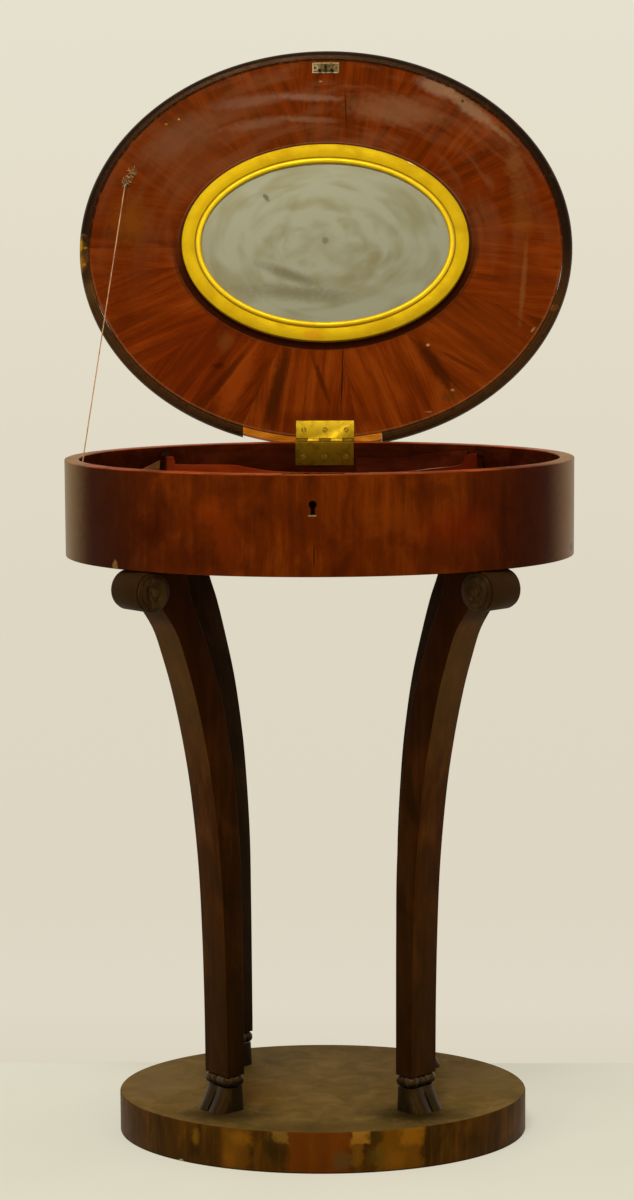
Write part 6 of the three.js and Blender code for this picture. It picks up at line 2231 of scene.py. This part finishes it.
    def section(self, outer: Pair, inner: Pair, half: float) -> list[Point]:
        """One section of the shaft, a rectangle with rounded corners.

        Args:
            outer: Its outer face, as (inwards, z).
            inner: Its inner face.
            half: Half its width.

        Returns:
            The section's points.
        """
        run = Vector((inner[0] - outer[0], inner[1] - outer[1]))
        length = run.length
        run /= length
        a = min(self.arris, length / 4)
        corner = [(a * u, a * v) for u, v in self.corner_shares]
        near = [(u, -half + v) for u, v in corner] + [(length - u, -half + v) for u, v in reversed(corner)]
        far = [(length - u, half - v) for u, v in corner] + [(u, half - v) for u, v in reversed(corner)]
        return [(outer[0] + run.x * u, v, outer[1] + run.y * u) for u, v in near + far]

    def roll_end(self, side: int) -> Piece:
        """One stepped, turned end of the roll.

        Args:
            side: 1 for the side of +Y in the leg's own frame, and -1 for the other.

        Returns:
            The end.
        """
        name = "long_side" if side == prod(self.corner.value) else "short_side"
        radius = self.roll_radius - self.boss_inset
        profile = [(r * radius, h * self.boss_height) for r, h in self.boss_shares]
        place = move(0, side * (self.roll_length / 2 + SIZES.seat), self.roll_z)
        place @= Matrix.Rotation(-side * pi / 2, 4, "X")
        return shift(make_object(f"turned_end_{name}", *lathe(profile, 64), sharp=50), place)

    def collar(self) -> Piece:
        """The carved string of beads round the ankle.

        Returns:
            The string of beads.
        """
        depth = self.ankle_half_depth + self.collar_proud - self.bead_radius
        width = self.ankle_half_width + self.collar_proud - self.bead_radius
        corners = [(depth, -width), (depth, width), (-depth, width), (-depth, -width)]
        fine = 10
        path: list[Point] = []
        for (x, y), (to_x, to_y), beads in zip(corners, corners[1:] + corners[:1], self.side_beads):
            for i in range(beads * fine):
                t = i / (beads * fine)
                swell = 0.7 + 0.3 * sqrt(abs(sin(pi * i / fine)))
                path.append((x + (to_x - x) * t, y + (to_y - y) * t, swell))
        middle, half = self.hoof_top + self.collar_height / 2, self.collar_height / 2 - SIZES.seat
        draw = random.Random(5 + len(self.corner.label) + self.corner.value[0])
        sizes = [draw.uniform(0.9, 1.06) for _ in range(12)]
        rings = []
        for i, (x, y, swell) in enumerate(path):
            before, after = path[i - 3], path[(i + 3) % len(path)]
            run = Vector((after[0] - before[0], after[1] - before[1])).normalized()
            size = swell * sizes[(i // fine) % 12]
            ring = []
            for cosine, sine in circle(14):
                reach = self.bead_radius * size * cosine
                height = half * min(size, 1.0) * sine
                ring.append((self.ankle_middle + x + run.y * reach, y - run.x * reach, middle + height))
            rings.append(ring)
        return make_object("ankle_beads", *loft(rings, closed_path=True), sharp=60)

    def hoof(self) -> Piece:
        """The carved cloven hoof.

        Returns:
            The hoof.
        """
        low, high = self.plinth + SIZES.seat, self.hoof_top - SIZES.seat
        heel = [(1.0, 0.0), (1.0, 0.35), (0.94, 0.75), (0.7, 0.96)]
        toe = [(0.2, 1.0), (0.6, 0.97), (0.86, 0.8), (0.98, 0.5), (0.95, 0.2)]
        back = self.ankle_half_depth
        rings = []
        for t in (level / 14 for level in range(15)):
            spread = (1 - t) ** 1.25
            half, front = self.ankle_half_width + self.flare * spread, back + self.toe * spread
            side = [(reach * back, width * half) for reach, width in heel]
            side += [(-reach * front, width * half) for reach, width in toe]
            side = smooth_curve(side, 30)
            cleft = (-(self.cleft + 0.16 * t) * front, 0.35)
            side += [(side[-1][0] * 0.9 + cleft[0] * 0.1, 1.6), cleft]
            ring = side + [(x, -y) for x, y in side[:0:-1]]
            rings.append([(self.ankle_middle + x, y, low + (high - low) * t) for x, y in ring])
        return make_object("cloven_hoof", *loft(rings), sharp=45)


@dataclass
class Plinth:
    """The oval plinth that the hooves stand on."""

    half_length: float = 229.0
    half_width: float = 181.0
    height: float = 46.0

    def build(self, bench: Bench) -> None:
        """Builds the plinth, with one finish on its edge and another on its top.

        Args:
            bench: Where the pieces are put on the table.
        """
        h = self.height
        levels = [
            (1.0, 0), (0.3, 0.3), (0, 1.0), (0, h / 2), (0, h - 2.2), (0.35, h - 1.1), (1.1, h - 0.3),
            (2.2, h),
        ]
        obj = make_object("plinth_veneered", *oval_stack(levels, self.half_length, self.half_width, 300))
        bench.place(obj, TABLE_BODY, "mahogany_veneer", PLINTH_VENEER, "plinth")
        bench.paint(obj, PLINTH_TOP, lambda place, normal: abs(normal.z) > 0.8)


def main() -> None:
    """Builds the studio and the table."""
    logging.basicConfig(level=logging.INFO, format="%(message)s")
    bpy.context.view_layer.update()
    Studio().build()
    bench = Bench()
    for part in (Stay(), Box(), FittedInside(), Hinge(), Lid(), Mirror(), *map(Leg, Corner), Plinth()):
        part.build(bench)


if __name__ == "__main__":
    main()
